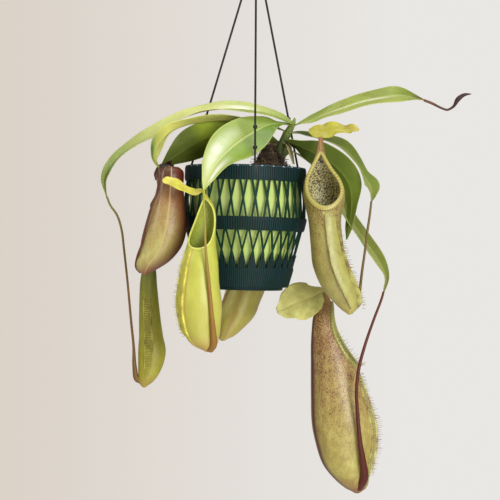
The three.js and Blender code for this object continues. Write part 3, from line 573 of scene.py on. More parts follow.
# Leaves. Long strap leaves, 0.6 mm thick, folded a little along the midrib, with fine veins that run
# lengthwise. Each grows from the stem, narrows to a tip, and its midrib runs on as a tendril.
LEAF_THICKNESS = 0.6
LEAVES = {
    # rows, from the stem to the tip: x, y, z of the midrib, half width, lean of the face to the front
    # way: 1 grows to the left, -1 to the right, 0 to the back. fold: the rise of both halves, in degrees
    # wave: how high the edges wave. gloss: the roughness of the top. midrib: the vein colour underneath
    # top, under: each face's colours, by their share of the way from the stem
    # glare, shade: painted highlights and painted shade, by their place and reach along the blade and across
    # it
    "leaf_front": {
        "way": 1, "fold": 8, "wave": 1.2, "slot": "leaf_green", "rows": [
            (41, -4, -242, 3, 20), (29, -13, -241, 6, 30), (15, -19, -243, 14, 48), (-4, -33, -253, 24, 68),
            (-25, -52, -269, 26, 68), (-42, -74, -289, 18, 62), (-52, -93, -309, 7, 60),
            (-56, -101, -320, 1.3, 60)],
        "top": [(0, (90, 124, 18)), (0.35, (106, 142, 24)), (0.6, (130, 160, 42)), (0.85, (182, 198, 100))],
        "under": [(0, (140, 160, 80)), (1, (170, 184, 110))], "gloss": 0.3,
        "glare": [(0.66, 0.2, 0.45, 0.45), (0.8, 0.16, -0.4, 0.4)],
    },
    "leaf_far_left": {
        "way": 1, "fold": 14, "wave": 1.2, "slot": "leaf_green", "rows": [
            (42, -3, -240, 3.5, 20), (28, -7, -233, 7, 42), (7, -11, -227, 11, 34), (-20, -14, -224, 15, 24),
            (-48, -15, -225, 18, 20), (-77, -15, -232, 19, 20), (-109, -12, -249, 18, 23),
            (-139, -6, -265, 15, 28), (-162, 0, -282, 11, 34), (-174, 6, -302, 5.5, 38),
            (-172, 10, -323, 1.2, 30)],
        "top": [(0, (112, 140, 50)), (0.3, (178, 192, 104)), (0.5, (220, 224, 140)), (0.62, (206, 214, 132)),
                (0.76, (140, 164, 82)), (0.9, (92, 120, 40))],
        "under": [(0, (130, 150, 60)), (0.5, (200, 206, 96)), (1, (104, 124, 44))], "gloss": 0.32,
        "glare": [(0.47, 0.14, -0.3, 0.5), (0.3, 0.1, 0.2, 0.4)],
    },
    "leaf_left_high": {
        "way": 1, "fold": 10, "wave": 1, "slot": "leaf_yellow", "rows": [
            (37, 4, -249, 3, 0), (24, 2, -245, 5, -6), (3, -4, -240, 10, -8), (-22, -10, -237, 13, -8),
            (-48, -17, -237, 14, -8), (-74, -21, -241, 15, -10), (-97, -28, -251, 15, -16),
            (-110, -36, -267, 12, -30), (-113, -45, -281, 6.5, -30), (-108, -54, -293, 1.2, -30)],
        "top": [(0, (128, 140, 48)), (0.45, (190, 196, 76)), (0.8, (232, 234, 96)), (1, (160, 168, 60))],
        "under": [(0, (104, 112, 34)), (0.4, (212, 214, 116)), (0.7, (228, 230, 122)),
                  (0.86, (218, 222, 122)), (1, (120, 122, 44))], "gloss": 0.4,
        # A painted shade: a dark strip on the curled edge near the tip.
        "shade": [(0.86, 0.18, -1, 1.45, (62, 96, 30))],
    },
    "leaf_left_low": {
        "way": 1, "fold": 8, "wave": 1.5, "slot": "leaf_dark", "rows": [
            (31, 8, -264, 3, -20), (12, 8, -256, 8, -40), (-13, 6, -250, 17, -55), (-43, 2, -253, 22, -60),
            (-70, 0, -263, 21, -62), (-91, -1, -276, 13, -60), (-109, -2, -291, 1, -60)],
        "top": [(0, (84, 104, 30)), (0.5, (110, 132, 42)), (1, (80, 96, 30))],
        # Its under face turns paler at 0.56 of the way from the stem: a painted patch of light.
        "under": [(0, (84, 100, 20)), (0.4, (116, 136, 26)), (0.56, (160, 182, 44)), (0.68, (100, 118, 24)),
                  (1, (84, 98, 24))], "gloss": 0.6, "midrib": (122, 136, 50),
    },
    "leaf_right": {
        "way": -1, "fold": 6, "wave": 0.8, "slot": "leaf_green", "rows": [
            (42, -3, -244, 3, 10), (53, -4, -239, 4.5, 20), (66, -6, -234.5, 9, 34), (80, -8, -229, 12, 32),
            (94, -9, -224, 14, 30), (121, -12, -215, 17, 32), (148, -14, -210, 18, 34),
            (164, -14, -208.5, 17, 34), (178, -14, -210.5, 11, 34), (192, -14, -214, 2.2, 20)],
        "top": [(0, (84, 104, 32)), (0.12, (130, 150, 46)), (0.55, (142, 158, 32)), (0.85, (126, 146, 28)),
                (1, (96, 84, 40))],
        "under": [(0, (120, 130, 70)), (0.5, (170, 176, 92)), (1, (120, 100, 60))], "gloss": 0.34,
        "glare": [(0.52, 0.28, 0.16, 0.16)],
    },
    "leaf_right_arched": {
        "way": -1, "fold": 14, "wave": 0.8, "slot": "leaf_green", "rows": [
            (38, -4, -251, 3, 10), (48, -3, -251, 5, 15), (63, -1, -254, 10, 20), (81, 1, -259, 14, 22),
            (101, 2, -267, 15, 25), (116, 2, -283, 12, 28), (124.5, 1, -298, 10, 30), (132, -1, -311, 14, 38),
            (133.5, -3, -320, 9, 36), (133, -4, -329, 1.2, 30)],
        "top": [(0, (84, 104, 30)), (0.4, (100, 118, 30)), (0.75, (114, 132, 50)), (1, (122, 130, 54))],
        "under": [(0, (80, 96, 30)), (1, (110, 128, 56))], "gloss": 0.35,
    },
    "leaf_right_broad": {
        "way": -1, "fold": 8, "wave": 1.2, "slot": "leaf_dark", "rows": [
            (34, -4, -260, 3, -20), (44, -5, -263, 7, -35), (58, -4, -269, 13, -45), (75, -1, -277, 18, -50),
            (95, 3, -291, 20, -50), (108, 6, -310, 16, -50), (111, 6, -333, 9, -45),
            (107, 4, -360, 5, -40), (105, 4, -373, 1, -40)],
        "top": [(0, (62, 80, 18)), (0.5, (80, 104, 22)), (1, (90, 112, 34))],
        "under": [(0, (64, 80, 18)), (0.35, (82, 106, 20)), (0.7, (108, 130, 34)), (1, (124, 142, 54))],
        "gloss": 0.55, "midrib": (132, 142, 60),
    },
    "leaf_right_low": {
        "way": -1, "fold": 10, "wave": 0.6, "slot": "leaf_green", "rows": [
            (31, 10, -268, 3, 0), (42, 14, -271, 3.2, 10), (56, 18, -278, 3.5, 20), (76, 21, -295, 6, 30),
            (94, 20, -321, 10, 35), (110, 15, -349, 13, 35), (128, 8, -376, 13, 35),
            (143, 2, -399, 11, 35), (150, -2, -416, 6, 35), (147, -4, -433, 1.3, 35)],
        "top": [(0, (90, 104, 36)), (0.5, (128, 138, 52)), (0.8, (120, 130, 48)), (1, (104, 106, 38))],
        "under": [(0, (104, 118, 50)), (1, (120, 134, 60))], "gloss": 0.35,
    },
    "leaf_back": {
        "way": 0, "fold": 12, "wave": 1, "slot": "leaf_dark", "rows": [
            (36, 7, -260, 3, 0), (33, 18, -258, 6, 0), (29, 36, -258, 14, 0), (25, 54, -263, 18, 0),
            (20, 70, -272, 15, 0), (16, 82, -287, 8, 0), (13, 88, -308, 1.2, 0)],
        "top": [(0, (90, 112, 36)), (1, (120, 140, 56))],
        "under": [(0, (100, 114, 48)), (1, (110, 124, 56))], "gloss": 0.35,
    },
    "old_leaf": {
        "way": -1, "fold": 20, "wave": 0.5, "slot": "dead_leaf", "rows": [
            (33, -1, -262, 2.5, 40), (37, -10, -266, 3, 50), (40, -20, -276, 3, 60),
            (43, -29, -288, 1.2, 60)],
        "top": [(0, (56, 38, 24)), (1, (92, 66, 42))],
        "under": [(0, (60, 42, 28)), (1, (80, 58, 38))], "gloss": 0.8,
    },
}


def blade_frame(blade, share):
    """The midrib's place, the blade's side and face directions and its half width there"""
    place, along, half, lean = along_rows(blade["rows"], share)
    reference = Vector((-1, 0, 0)) if blade["way"] == 0 else FRONT
    near = (reference - along * reference.dot(along)).normalized()
    over = along.cross(near) * (blade["way"] or -1)
    normal = over * math.cos(math.radians(lean)) + near * math.sin(math.radians(lean))
    return place, along.cross(normal), normal, half


def lay_blade(name, blade, across, along):
    """A blade without thickness: folded on its midrib, waved at its edges, grooved along the midrib"""
    frames = [blade_frame(blade, k / along) for k in range(along + 1)]
    rise = math.radians(blade["fold"])

    def place(u, v):
        middle, side, normal, half = frames[round(v * along)]
        out = 2 * u - 1
        ripple = blade["wave"] * out ** 2 * math.sin(21 * v + 1.3 * out) * min(1, half / 8)
        veins = 0.12 * math.cos(18 * math.pi * abs(out) ** 0.85) * (1 - abs(out) ** 6) * min(1, half / 10)
        groove = 0.5 * math.exp(-(out / 0.07) ** 2) * min(1, half / 8)
        lift = (math.sqrt(out ** 2 + 0.004) - 0.03) * half * math.sin(rise) + ripple + veins - groove
        return middle + side * (out * half * math.cos(rise)) + normal * lift

    return lay_grid(name, across, along, place)


def lengthwise_veins():
    """Pale veins that run along a blade from its foot to its tip, and the midrib, from the UV map"""
    group = bpy.data.node_groups.new("lengthwise_veins", "ShaderNodeTree")
    group.interface.new_socket("Count", in_out="INPUT", socket_type="NodeSocketFloat")
    group.interface.new_socket("Midrib", in_out="OUTPUT", socket_type="NodeSocketFloat")
    group.interface.new_socket("Veins", in_out="OUTPUT", socket_type="NodeSocketFloat")
    group.interface.new_socket("Edge", in_out="OUTPUT", socket_type="NodeSocketFloat")
    group.interface.new_socket("Shaded_Half", in_out="OUTPUT", socket_type="NodeSocketFloat")
    given = group.nodes.new("NodeGroupInput")
    map_uv = add_node(group, "TexCoord").outputs["UV"]
    across = add_node(group, "SeparateXYZ", {0: map_uv}).outputs[0]
    out = times(group, sums(group, "SUBTRACT", across, 0.5), 2)
    away = sums(group, "ABSOLUTE", out)
    wander = add_node(group, "TexNoise", {
        "Vector": add_node(group, "Mapping", {"Vector": map_uv, "Scale": (3, 9, 1)}).outputs[0],
        "Scale": 1.0, "Detail": 2}).outputs["Fac"]
    bent = sums(group, "ADD", away, times(group, wander, 0.06))
    lines = sums(group, "COSINE", times(group, bent, times(group, given.outputs[0], 2 * math.pi)))
    result = group.nodes.new("NodeGroupOutput")
    group.links.new(between(group, away, 0.07, 0.015), result.inputs["Midrib"])
    group.links.new(between(group, lines, 0.35, 1.0), result.inputs["Veins"])
    group.links.new(between(group, away, 0.88, 1.0), result.inputs["Edge"])
    # Shaded_Half marks one half of the folded blade, for painted light and shade across the fold.
    group.links.new(between(group, out, -0.12, 0.12), result.inputs["Shaded_Half"])
    return group


leaf_veins = lengthwise_veins()


def along_colours(tree, value, stops):
    """Colours that follow each other smoothly, each from its share of the way"""
    ramp = add_node(tree, "ValToRGB", {"Fac": value})
    colours = ramp.color_ramp
    colours.interpolation = "EASE"
    colours.elements[0].position, colours.elements[0].color = stops[0][0], tint(*stops[0][1])
    colours.elements[1].position, colours.elements[1].color = stops[-1][0], tint(*stops[-1][1])
    for share, colour in stops[1:-1]:
        colours.elements.new(share).color = tint(*colour)
    return ramp.outputs["Color"]


def nearness(tree, value, middle, reach):
    """How near a value lies to a middle: 1 there, fading to 0 at its reach"""
    return between(tree, sums(tree, "ABSOLUTE", sums(tree, "SUBTRACT", value, middle)), reach, reach * 0.15)


def painted(tree, body, share, strength, colour, how="MIX"):
    """A colour over another, by a share that changes over the surface and by its strength"""
    return blend(tree, times(tree, share, strength), body, tint(*colour), how=how)


def leaf_finish(name, stops, roughness, midrib=(204, 212, 128), half_shading=0.26, glare=(), shade=(),
                mottling=0.1):
    """Living leaf: waxy, mottled, with pale veins, a thin pale edge, painted light and shade on one half of
    the fold, and painted glare and shade patches
    """
    material, tree, shader = new_finish(name, Roughness=roughness, IOR=1.42,
                                        Coat_Weight=0.1, Coat_Roughness=0.25,
                                        Subsurface_Weight=0.08, Subsurface_Scale=0.002)
    veins = place_group(tree, leaf_veins, Count=7)
    uneven = place_group(tree, uneven_surface, Size=34, Stretch=(1, 1, 1)).outputs["Share"]
    patchy = place_group(tree, uneven_surface, Size=120, Stretch=(1, 1, 1)).outputs["Share"]
    across, along = map_shares(tree)
    out = sums(tree, "SUBTRACT", times(tree, across, 2), 1)

    def patch(share, reach, side, width):
        return times(tree, nearness(tree, along, share, reach), nearness(tree, out, side, width))

    colour = along_colours(tree, along, stops)
    colour = painted(tree, colour, uneven, 0.45, (150, 150, 90), "MULTIPLY")
    colour = painted(tree, colour, patchy, mottling, (178, 150, 92), "MULTIPLY")
    # One half of the fold is painted in the midrib colour: painted light and shade across the fold.
    for part, strength in (("Shaded_Half", half_shading), ("Veins", 0.09), ("Midrib", 0.5)):
        colour = painted(tree, colour, veins.outputs[part], strength, midrib)
    # Painted highlights: pale patches of glare painted on the top face.
    for spot in glare:
        broken = sums(tree, "ADD", times(tree, uneven, 0.5), 0.3)
        colour = painted(tree, colour, patch(*spot), broken, (250, 252, 236))
    # Painted shade: dark patches painted over the face.
    for *spot, dark in shade:
        colour = painted(tree, colour, patch(*spot), 1, dark)
    colour = painted(tree, colour, veins.outputs["Edge"], 0.3, midrib)
    tree.links.new(colour, shader.inputs["Base Color"])
    raise_bump(tree, shader, veins.outputs["Veins"], 0.2, 0.0005)
    return material


def lay_leaf(name, leaf, across, along, top, under):
    """A leaf's blade with its two finishes and its thickness"""
    blade = lay_blade(name + "_blade", leaf, across, along)
    blade.data.materials.append(top)
    blade.data.materials.append(under)
    apply_modifier(blade, "SOLIDIFY", thickness=LEAF_THICKNESS, offset=0, material_offset=1,
                   material_offset_rim=0)
    finish_piece(blade, leaf["slot"], None, name)


for name, leaf in LEAVES.items():
    shade = leaf.get("shade", ())
    top = leaf_finish(name + "_top", leaf["top"], leaf["gloss"], glare=leaf.get("glare", ()), shade=shade)
    under = leaf_finish(name + "_under", leaf["under"], leaf["gloss"] + 0.1, half_shading=0.15, shade=shade,
                        midrib=leaf.get("midrib", (200, 204, 116)))
    size = (24, 40) if name == "old_leaf" else (44, 110)
    lay_leaf(name, leaf, *size, top, under)

# Tendrils. Each is the midrib of a leaf that runs on past the tip, hangs, and thickens again where it
# curls up into its pitcher. Rows run down from the leaf's tip: x, y, z, radius.
TENDRILS = {
    "tendril_bud": {
        "from": "leaf_right", "slot": "tendril_red",
        "colours": [(104, 66, 40), (40, 12, 12)], "rows": [
            (202, -14, -218, 1.5), (212, -14, -223, 1.3), (219, -14, -225, 1.3), (226, -14, -221, 1.6),
            (231, -14, -213, 2.7), (238, -14, -208, 1.9), (246, -14, -207, 0.5)],
    },
    "tendril_front": {
        "from": "leaf_front", "slot": "tendril_brown",
        "colours": [(160, 166, 60), (134, 90, 34)], "rows": [
            (-56, -106, -336, 1), (-55, -108, -355, 1.1), (-54, -108, -385, 1.5), (-51, -107, -417, 2),
            (-48, -106, -452, 2.4), (-46, -103, -474, 3.2), (-46, -96, -487, 4.2), (-50, -88, -493, 4.6)],
    },
    "tendril_left": {
        "from": "leaf_left_high", "slot": "tendril_brown",
        "colours": [(96, 72, 36), (86, 44, 26)], "rows": [
            (-107, -57, -302, 0.9), (-110, -57, -320, 0.9), (-118, -57, -347, 0.9), (-126, -53, -376, 1.1),
            (-132, -48, -393, 1.6), (-132.5, -43, -404, 2.8), (-128, -40, -408, 4)],
    },
    "tendril_young": {
        "from": "leaf_far_left", "slot": "tendril_brown",
        "colours": [(120, 120, 56), (112, 76, 40)], "rows": [
            (-168, 10, -333, 1.2), (-160, 10, -345, 1.3), (-155, 10, -361, 1.3), (-152, 10, -385, 1.3),
            (-148, 10, -422, 1.3), (-144, 10, -466, 1.4), (-141, 11, -497, 1.6), (-140, 12, -520, 2.6),
            (-137, 13, -535, 3.4), (-129, 14, -536, 3.6)],
    },
    "tendril_right": {
        "from": "leaf_right_arched", "slot": "tendril_brown",
        "colours": [(110, 98, 54), (106, 80, 38)], "rows": [
            (131, -6, -345, 1.4), (128, -9, -364, 1.4), (125, -14, -385, 1.4), (121, -20, -410, 1.5),
            (118, -27, -430, 1.8), (114, -34, -446, 2.8), (107, -40, -452, 3.8)],
    },
    "tendril_large": {
        "from": "leaf_right_low", "slot": "tendril_red",
        "colours": [(96, 46, 22), (76, 20, 10)], "rows": [
            (144, -8, -442, 1.4), (134, -17, -466, 1.5), (124, -25, -493, 1.7), (117, -29, -518, 1.9),
            (114, -31, -543, 1.9), (115, -31, -568, 2.1), (118, -29, -601, 2.6), (122, -23, -625, 3.6),
            (124, -12, -645, 4.8), (119, 3, -658, 5.5)],
    },
    "tendril_back": {
        "from": "leaf_back", "slot": "tendril_brown",
        "colours": [(130, 136, 60), (120, 90, 50)], "rows": [
            (8, 86, -327, 1), (-1, 76, -361, 1), (-15, 68, -399, 1.1), (-31, 64, -432, 1.4),
            (-41, 66, -454, 1.8), (-46, 72, -475, 2.8), (-41, 80, -489, 4)],
    },
}


def tendril_finish(name, start, end):
    """Smooth tendril skin that reddens on its way down from the leaf"""
    material, tree, shader = new_finish(name, Roughness=0.5, IOR=1.4)
    uneven = place_group(tree, uneven_surface, Size=120, Stretch=(1, 1, 0.4))
    down = between(tree, map_shares(tree)[1], 0.0, 0.55)
    reddened = blend(tree, down, tint(*start), tint(*end))
    mottled = blend(tree, times(tree, uneven.outputs["Share"], 0.15), reddened, tint(*start))
    tree.links.new(mottled, shader.inputs["Base Color"])
    raise_bump(tree, shader, uneven.outputs["Height"], 0.08, 0.0003)
    return material


for name, tendril in TENDRILS.items():
    tip_row = LEAVES[tendril["from"]]["rows"][-1]
    rows = [(*tip_row[:3], min(tip_row[3], tendril["rows"][0][3]))] + tendril["rows"]
    tube = lay_tube(name + "_skin", 14, rod_rings(rows, 12 * (len(rows) - 1)))
    finish_piece(tube, tendril["slot"], tendril_finish(name, *tendril["colours"]), name)

# Pitchers. The trap at the end of each tendril: a waxy upright cup that rounds out low down, with a
# slanted mouth under a rolled and finely ribbed rim, two fringed wings down its front and a narrow neck.
# They hang at their own turns and in their own colours, with painted shade darkening the top and right side
# of pitcher_left; the youngest is still closed.
WALL_THICKNESS, HAIR_GAP, RUNG_GAP, RIM_RIBS = 1.2, 2, 2.7, 60
PITCHERS = {
    # rows, from the base up: z, left, right, y of the middle. Turns are from the front, 90 faces +X
    # depth: from front to back, as a share of the width
    # mouth: its turn, lowest and highest height, half its width as a turn, and the rolled rim's radius
    # wings: each wing's turns at its top and its foot. wing_ends, rise: their heights and how far they
    # stand out there. hair: the length of a fringe hair, 0 where the fringe is still pressed flat
    # low, high, foot, neck: the wall's colours, where pitcher_left's dark neck is partly painted shade.
    # neck_from: the share of the height where the neck's begins
    # panel: the colour between the wings. specks, coarse: the freckles and the strength of the larger ones
    # back: the line down the back, on pitcher_left a broad dark band down its right side that is partly
    # painted shade. back_line: its place and reach round the cup, and its strength
    # ridges: painted lines down the wall, by their turns at the top and the foot, their reach and colour
    # inside, spots: the cup's inner wall and its freckles. ticks: how strongly the rim's ribs are marked
    # mottling: how strongly broad brown patches show
    "pitcher_front": {
        "slot": "pitcher_yellow", "depth": 1, "rows": [
            (-495, -57, -48, -84), (-490, -68, -43, -84), (-481, -76, -40, -83), (-466, -82, -38, -83),
            (-443, -86, -37, -83), (-420, -84, -40, -83), (-400, -81, -41, -83), (-374, -74, -44, -82),
            (-350, -65, -43.5, -80), (-336, -60.5, -46, -78), (-324, -58, -54, -77)],
        "mouth": (-12, -384, -329, 74, 1), "wings": ((-38, -52), (-66, -84)), "wing_ends": (-385, -480),
        "low": (186, 184, 82), "high": (194, 202, 82), "panel": (196, 200, 84), "panel_share": 0.5,
        "specks": (140, 126, 46), "speck_share": 0.12, "neck": (180, 178, 66), "foot": (170, 126, 74),
        "back": (176, 166, 80), "back_line": (0.5, 0.03, 0.5),
        "inside": (162, 172, 66), "spots": (142, 150, 56),
        "rim": (204, 206, 92), "ticks": 0.1, "fringe": (224, 218, 92), "hair": 4,
        "ridges": [(-39, -53, 0.03, (226, 212, 64)), (-31, -45, 0.009, (172, 134, 58))],
        "rise": (1.3, 2), "hairy_rim": False, "coarse": 0.6, "mottling": 0.12, "neck_from": 0.88,
    },
    "pitcher_left": {
        "slot": "pitcher_red", "depth": 1, "rows": [
            (-412, -127, -121, -42), (-407, -133, -111, -42), (-398, -134, -97, -42), (-386, -129, -86, -42),
            (-374, -127, -80, -42), (-358, -123, -77, -42), (-340, -118, -79, -42), (-327, -115, -80, -41),
            (-313, -112, -81, -40), (-297, -110, -81, -38.5), (-292, -105, -86, -38)],
        "mouth": (-105, -336, -300, 58, 1.7), "wings": ((-88, -80), (-120, -112)), "wing_ends": (-334, -398),
        # pitcher_left: its dark neck and its wide back band are partly its own maroon and red, partly painted
        # shade over its top and right side.
        "low": (200, 197, 122), "high": (154, 116, 70), "panel": (196, 178, 112), "panel_share": 0.25,
        "specks": (118, 66, 40), "speck_share": 0.55, "neck": (66, 24, 12), "foot": (150, 84, 54),
        "back": (100, 30, 16), "back_line": (0.54, 0.25, 0.97),
        "inside": (150, 132, 80), "spots": (96, 60, 44),
        "rim": (96, 48, 34), "ticks": 0.5, "fringe": (112, 66, 38), "hair": 1.4,
        "ridges": [(7, -2, 0.012, (190, 164, 104)), (-30, -34, 0.008, (176, 142, 92))],
        "rise": (0.8, 0.8), "hairy_rim": False, "coarse": 0.8, "mottling": 0.3, "neck_from": 0.7,
    },
    "pitcher_right": {
        "slot": "pitcher_olive", "depth": 1, "rows": [
            (-456, 102, 109, -42), (-451, 95, 114, -42), (-444, 88, 114, -42), (-434, 79, 113, -42),
            (-421, 71, 109, -42), (-402, 64, 103, -42), (-383, 62, 99, -42), (-351, 59, 96, -42),
            (-329, 54, 100, -42), (-318, 53, 100, -42), (-306, 55, 95, -41), (-295, 60, 87, -40),
            (-280, 66.5, 79.5, -37.5), (-258, 71.5, 75.5, -35)],
        "mouth": (0, -339, -276, 60, 2.3), "wings": ((-4, 6), (38, 84)), "wing_ends": (-346, -451),
        "low": (168, 163, 92), "high": (160, 147, 84), "panel": (180, 182, 102), "panel_share": 0.75,
        "specks": (96, 62, 30), "speck_share": 0.95, "neck": (138, 90, 52), "foot": (166, 154, 78),
        "back": (112, 78, 38), "back_line": (0.5, 0.04, 0.8),
        "inside": (200, 194, 134), "spots": (78, 52, 44),
        "rim": (172, 162, 82), "ticks": 1.5, "fringe": (182, 180, 96), "hair": 5.4,
        "ridges": [(-5, 5, 0.008, (200, 196, 120))],
        "rise": (1.3, 6), "hairy_rim": False, "coarse": 0.8, "mottling": 0.4, "neck_from": 0.88,
    },
    "pitcher_large": {
        "slot": "pitcher_tan", "depth": 0.92, "rows": [
            (-665, 113, 122, 10), (-659, 102, 129, 9), (-645, 87, 132, 8), (-631, 77, 135, 8),
            (-610, 70, 139, 8), (-585, 65, 138, 8), (-548, 64, 127, 8), (-514, 64, 116, 8),
            (-495, 64, 108, 8), (-477, 65, 98, 8), (-461, 67, 92, 9), (-449, 73, 89, 10), (-435, 77, 84, 12)],
        "mouth": (82, -519, -446, 54, 2.2), "wings": ((58, 50), (90, 94)), "wing_ends": (-526, -646),
        "low": (184, 178, 96), "high": (178, 152, 100), "panel": (196, 198, 118), "panel_share": 0.7,
        "specks": (102, 46, 34), "speck_share": 0.95, "neck": (150, 112, 62), "foot": (112, 36, 32),
        "back": (84, 18, 20), "back_line": (0.575, 0.035, 1),
        "inside": (170, 150, 96), "spots": (90, 50, 40),
        "rim": (152, 150, 76), "ticks": 0.6, "fringe": (196, 192, 116), "hair": 6, "ridges": [],
        "rise": (1.3, 2.6), "hairy_rim": True, "coarse": 0.25, "mottling": 0.5, "neck_from": 0.88,
    },
    "pitcher_back": {
        "slot": "pitcher_yellow", "depth": 1, "rows": [
            (-493, -43, -35, 80), (-489, -44, -26, 82), (-479, -45, -14, 85), (-465, -44, -1, 89),
            (-448, -40, 6, 92), (-431, -35, 13, 94), (-405, -24, 20, 97), (-376, -11, 24, 100),
            (-346, -1, 24, 102), (-331, 4, 22, 104), (-314, 11, 18, 106)],
        "mouth": (170, -366, -318, 60, 1.8), "wings": ((150, 160), (190, 200)), "wing_ends": (-370, -482),
        "low": (174, 168, 78), "high": (176, 170, 82), "panel": (182, 178, 86), "panel_share": 0.4,
        "specks": (130, 96, 52), "speck_share": 0.35, "neck": (150, 120, 60), "foot": (166, 150, 70),
        "back": (140, 112, 60), "back_line": (0.5, 0.03, 0.6),
        "inside": (160, 158, 92), "spots": (90, 62, 50),
        "rim": (190, 174, 88), "ticks": 0.6, "fringe": (184, 174, 96), "hair": 4, "ridges": [],
        "rise": (1.3, 2), "hairy_rim": False, "coarse": 0.6, "mottling": 0.3, "neck_from": 0.88,
    },
    "pitcher_young": {
        "slot": "pitcher_green", "depth": 0.86, "rows": [
            (-543, -132, -126, 14), (-538, -136, -119, 14), (-529, -136, -112, 14), (-515, -136, -106, 14),
            (-501, -136, -104, 14), (-485, -135, -107, 14), (-464, -135, -110, 14),
            (-426, -134, -114, 14), (-411, -132, -115, 14), (-399, -129, -117, 14), (-390, -125, -121, 14)],
        "mouth": None, "wings": ((-30, -26), (12, 4)), "wing_ends": (-440, -522),
        "low": (166, 163, 46), "high": (136, 138, 38), "panel": (152, 149, 48), "panel_share": 0.5,
        "specks": (96, 92, 30), "speck_share": 0.3, "neck": (92, 106, 30), "foot": (156, 132, 60),
        "back": (110, 96, 44), "back_line": (0.5, 0.03, 0.6),
        "fringe": (190, 182, 80), "hair": 0, "ridges": [],
        "rise": (0.8, 0.8), "coarse": 0.6, "mottling": 0.3, "neck_from": 0.68,
    },
}


def level_cut(pitcher, height):
    """A pitcher's level cut at a height: x and y of its middle, half width and half depth"""
    rows = pitcher["rows"]
    last = len(rows) - 1
    k = min((i for i in range(1, last + 1) if rows[i][0] >= height), default=last)
    span = rows[k][0] - rows[k - 1][0]
    part = max(0, min(1, (height - rows[k - 1][0]) / span))

    def slope(i, column):
        low, high = rows[max(0, i - 1)], rows[min(last, i + 1)]
        return (high[column] - low[column]) / (high[0] - low[0]) * span

    def value(column):
        a, b = rows[k - 1][column], rows[k][column]
        ta, tb = slope(k - 1, column), slope(k, column)
        square, cube = 3 * b - 3 * a - 2 * ta - tb, 2 * a - 2 * b + ta + tb
        return a + ta * part + square * part ** 2 + cube * part ** 3

    left, right, y = value(1), value(2), value(3)
    half = (right - left) / 2
    return (left + right) / 2, y, half, half * pitcher["depth"]


def wall_spot(pitcher, height, turn, out=0.0, shrink=1.0):
    """A point on the wall, or out from it, at a height and a turn"""
    x, y, half, deep = level_cut(pitcher, height)
    across, ahead = half * shrink + out, deep * shrink + out
    return Vector((x + across * math.sin(turn), y - ahead * math.cos(turn), height))


def height_share(pitcher, height):
    foot, top = pitcher["rows"][0][0], pitcher["rows"][-1][0]
    return (height - foot) / (top - foot)


def mouth_edge(pitcher, swing):
    """Height and turn of the mouth's edge, by how far round it from its lowest point, in radians"""
    turn, low, high, half, _ = pitcher["mouth"]
    return low + (high - low) * (1 - math.cos(swing)) / 2, math.radians(turn + half * math.sin(swing))


def wing_spot(pitcher, turns, share):
    """A wing's height, turn and rise at a share of its way down the wall"""
    ends = (pitcher["wing_ends"], turns, pitcher["rise"])
    height, turn, rise = (top + (foot - top) * share for top, foot in ends)
    return height, math.radians(turn), rise


def wall_levels(pitcher):
    """Heights up the wall, each with how far the mouth is open there and how far the end closes in"""
    rows = pitcher["rows"]
    foot, top = rows[0][0], rows[-1][0]
    levels = [(foot - 1.6, 0, 0), (foot - 1.4, 0, 0.4), (foot - 0.9, 0, 0.75)]
    if pitcher["mouth"]:
        _, low, high, half, _ = pitcher["mouth"]
        levels += [(foot + (low - foot) * k / 34, 0, 1) for k in range(34)]
        for k in range(33):
            turn = math.pi * k / 32
            levels.append((low + (high - low) * (1 - math.cos(turn)) / 2,
                           math.radians(half) * max(0, math.sin(turn)), 1))
        levels += [(high + (top - high) * k / 8, 0, 1) for k in range(1, 9)]
    else:
        levels += [(foot + (top - foot) * k / 56, 0, 1) for k in range(57)]
    return levels + [(top + 0.7, 0, 0.6), (top + 0.9, 0, 0)]


def lay_wall(name, pitcher):
    """The wall as one grid round the cup, whose seam parts where the mouth is"""
    levels = wall_levels(pitcher)
    steps = len(levels) - 1
    face = math.radians(pitcher["mouth"][0]) if pitcher["mouth"] else 0
    foot, top = pitcher["rows"][0][0], pitcher["rows"][-1][0]

    def place(u, v):
        height, gape, shrink = levels[round(v * steps)]
        inner = max(foot, min(top, height))
        spot = wall_spot(pitcher, inner, face + gape + (2 * math.pi - 2 * gape) * u, shrink=shrink)
        spot.z = height
        return spot

    wall = lay_grid(name, 60, steps, place)
    for corner in wall.data.uv_layers.active.data:
        height, gape, _ = levels[round(corner.uv.y * steps)]
        share = gape / (2 * math.pi)
        corner.uv = (share + (1 - 2 * share) * corner.uv.x, height_share(pitcher, height))
    close_seams(wall, 0.01)
    return wall


def mouth_rings(pitcher, count):
    """Rings for the rolled rim, round the mouth from its lowest point, ribbed across"""
    lip = pitcher["mouth"][4]
    spots, aims = [], []
    for k in range(count):
        height, turn = mouth_edge(pitcher, 2 * math.pi * k / count)
        spots.append(wall_spot(pitcher, height, turn, 0.2))
        aims.append(Vector((math.sin(turn), -math.cos(turn), 0)))
    rings = []
    for k, (spot, aim) in enumerate(zip(spots, aims)):
        along = (spots[(k + 1) % count] - spots[k - 1]).normalized()
        out = (aim - along * aim.dot(along)).normalized()
        rib = 1 + 0.03 * math.cos(2 * math.pi * RIM_RIBS * k / count)
        flare = 1 - 0.35 * (1 - math.cos(2 * math.pi * k / count)) / 2
        rings.append((spot, out * lip * 0.9 * rib, along.cross(out) * lip * 1.4 * rib * flare))
    return rings


def wing_rings(pitcher, turns, steps=48):
    """Rings for a thin raised wing that runs down the wall between its two ends"""
    rings = []
    for k in range(steps + 1):
        share = k / steps
        height, turn, rise = wing_spot(pitcher, turns, share)
        fade = min(1, share * 8, (1 - share) * 14)
        out = Vector((math.sin(turn), -math.cos(turn), 0))
        side = Vector((math.cos(turn), math.sin(turn), 0))
        rings.append((wall_spot(pitcher, height, turn, 0.1), out * (0.3 + rise * fade), side * 0.7))
    return rings


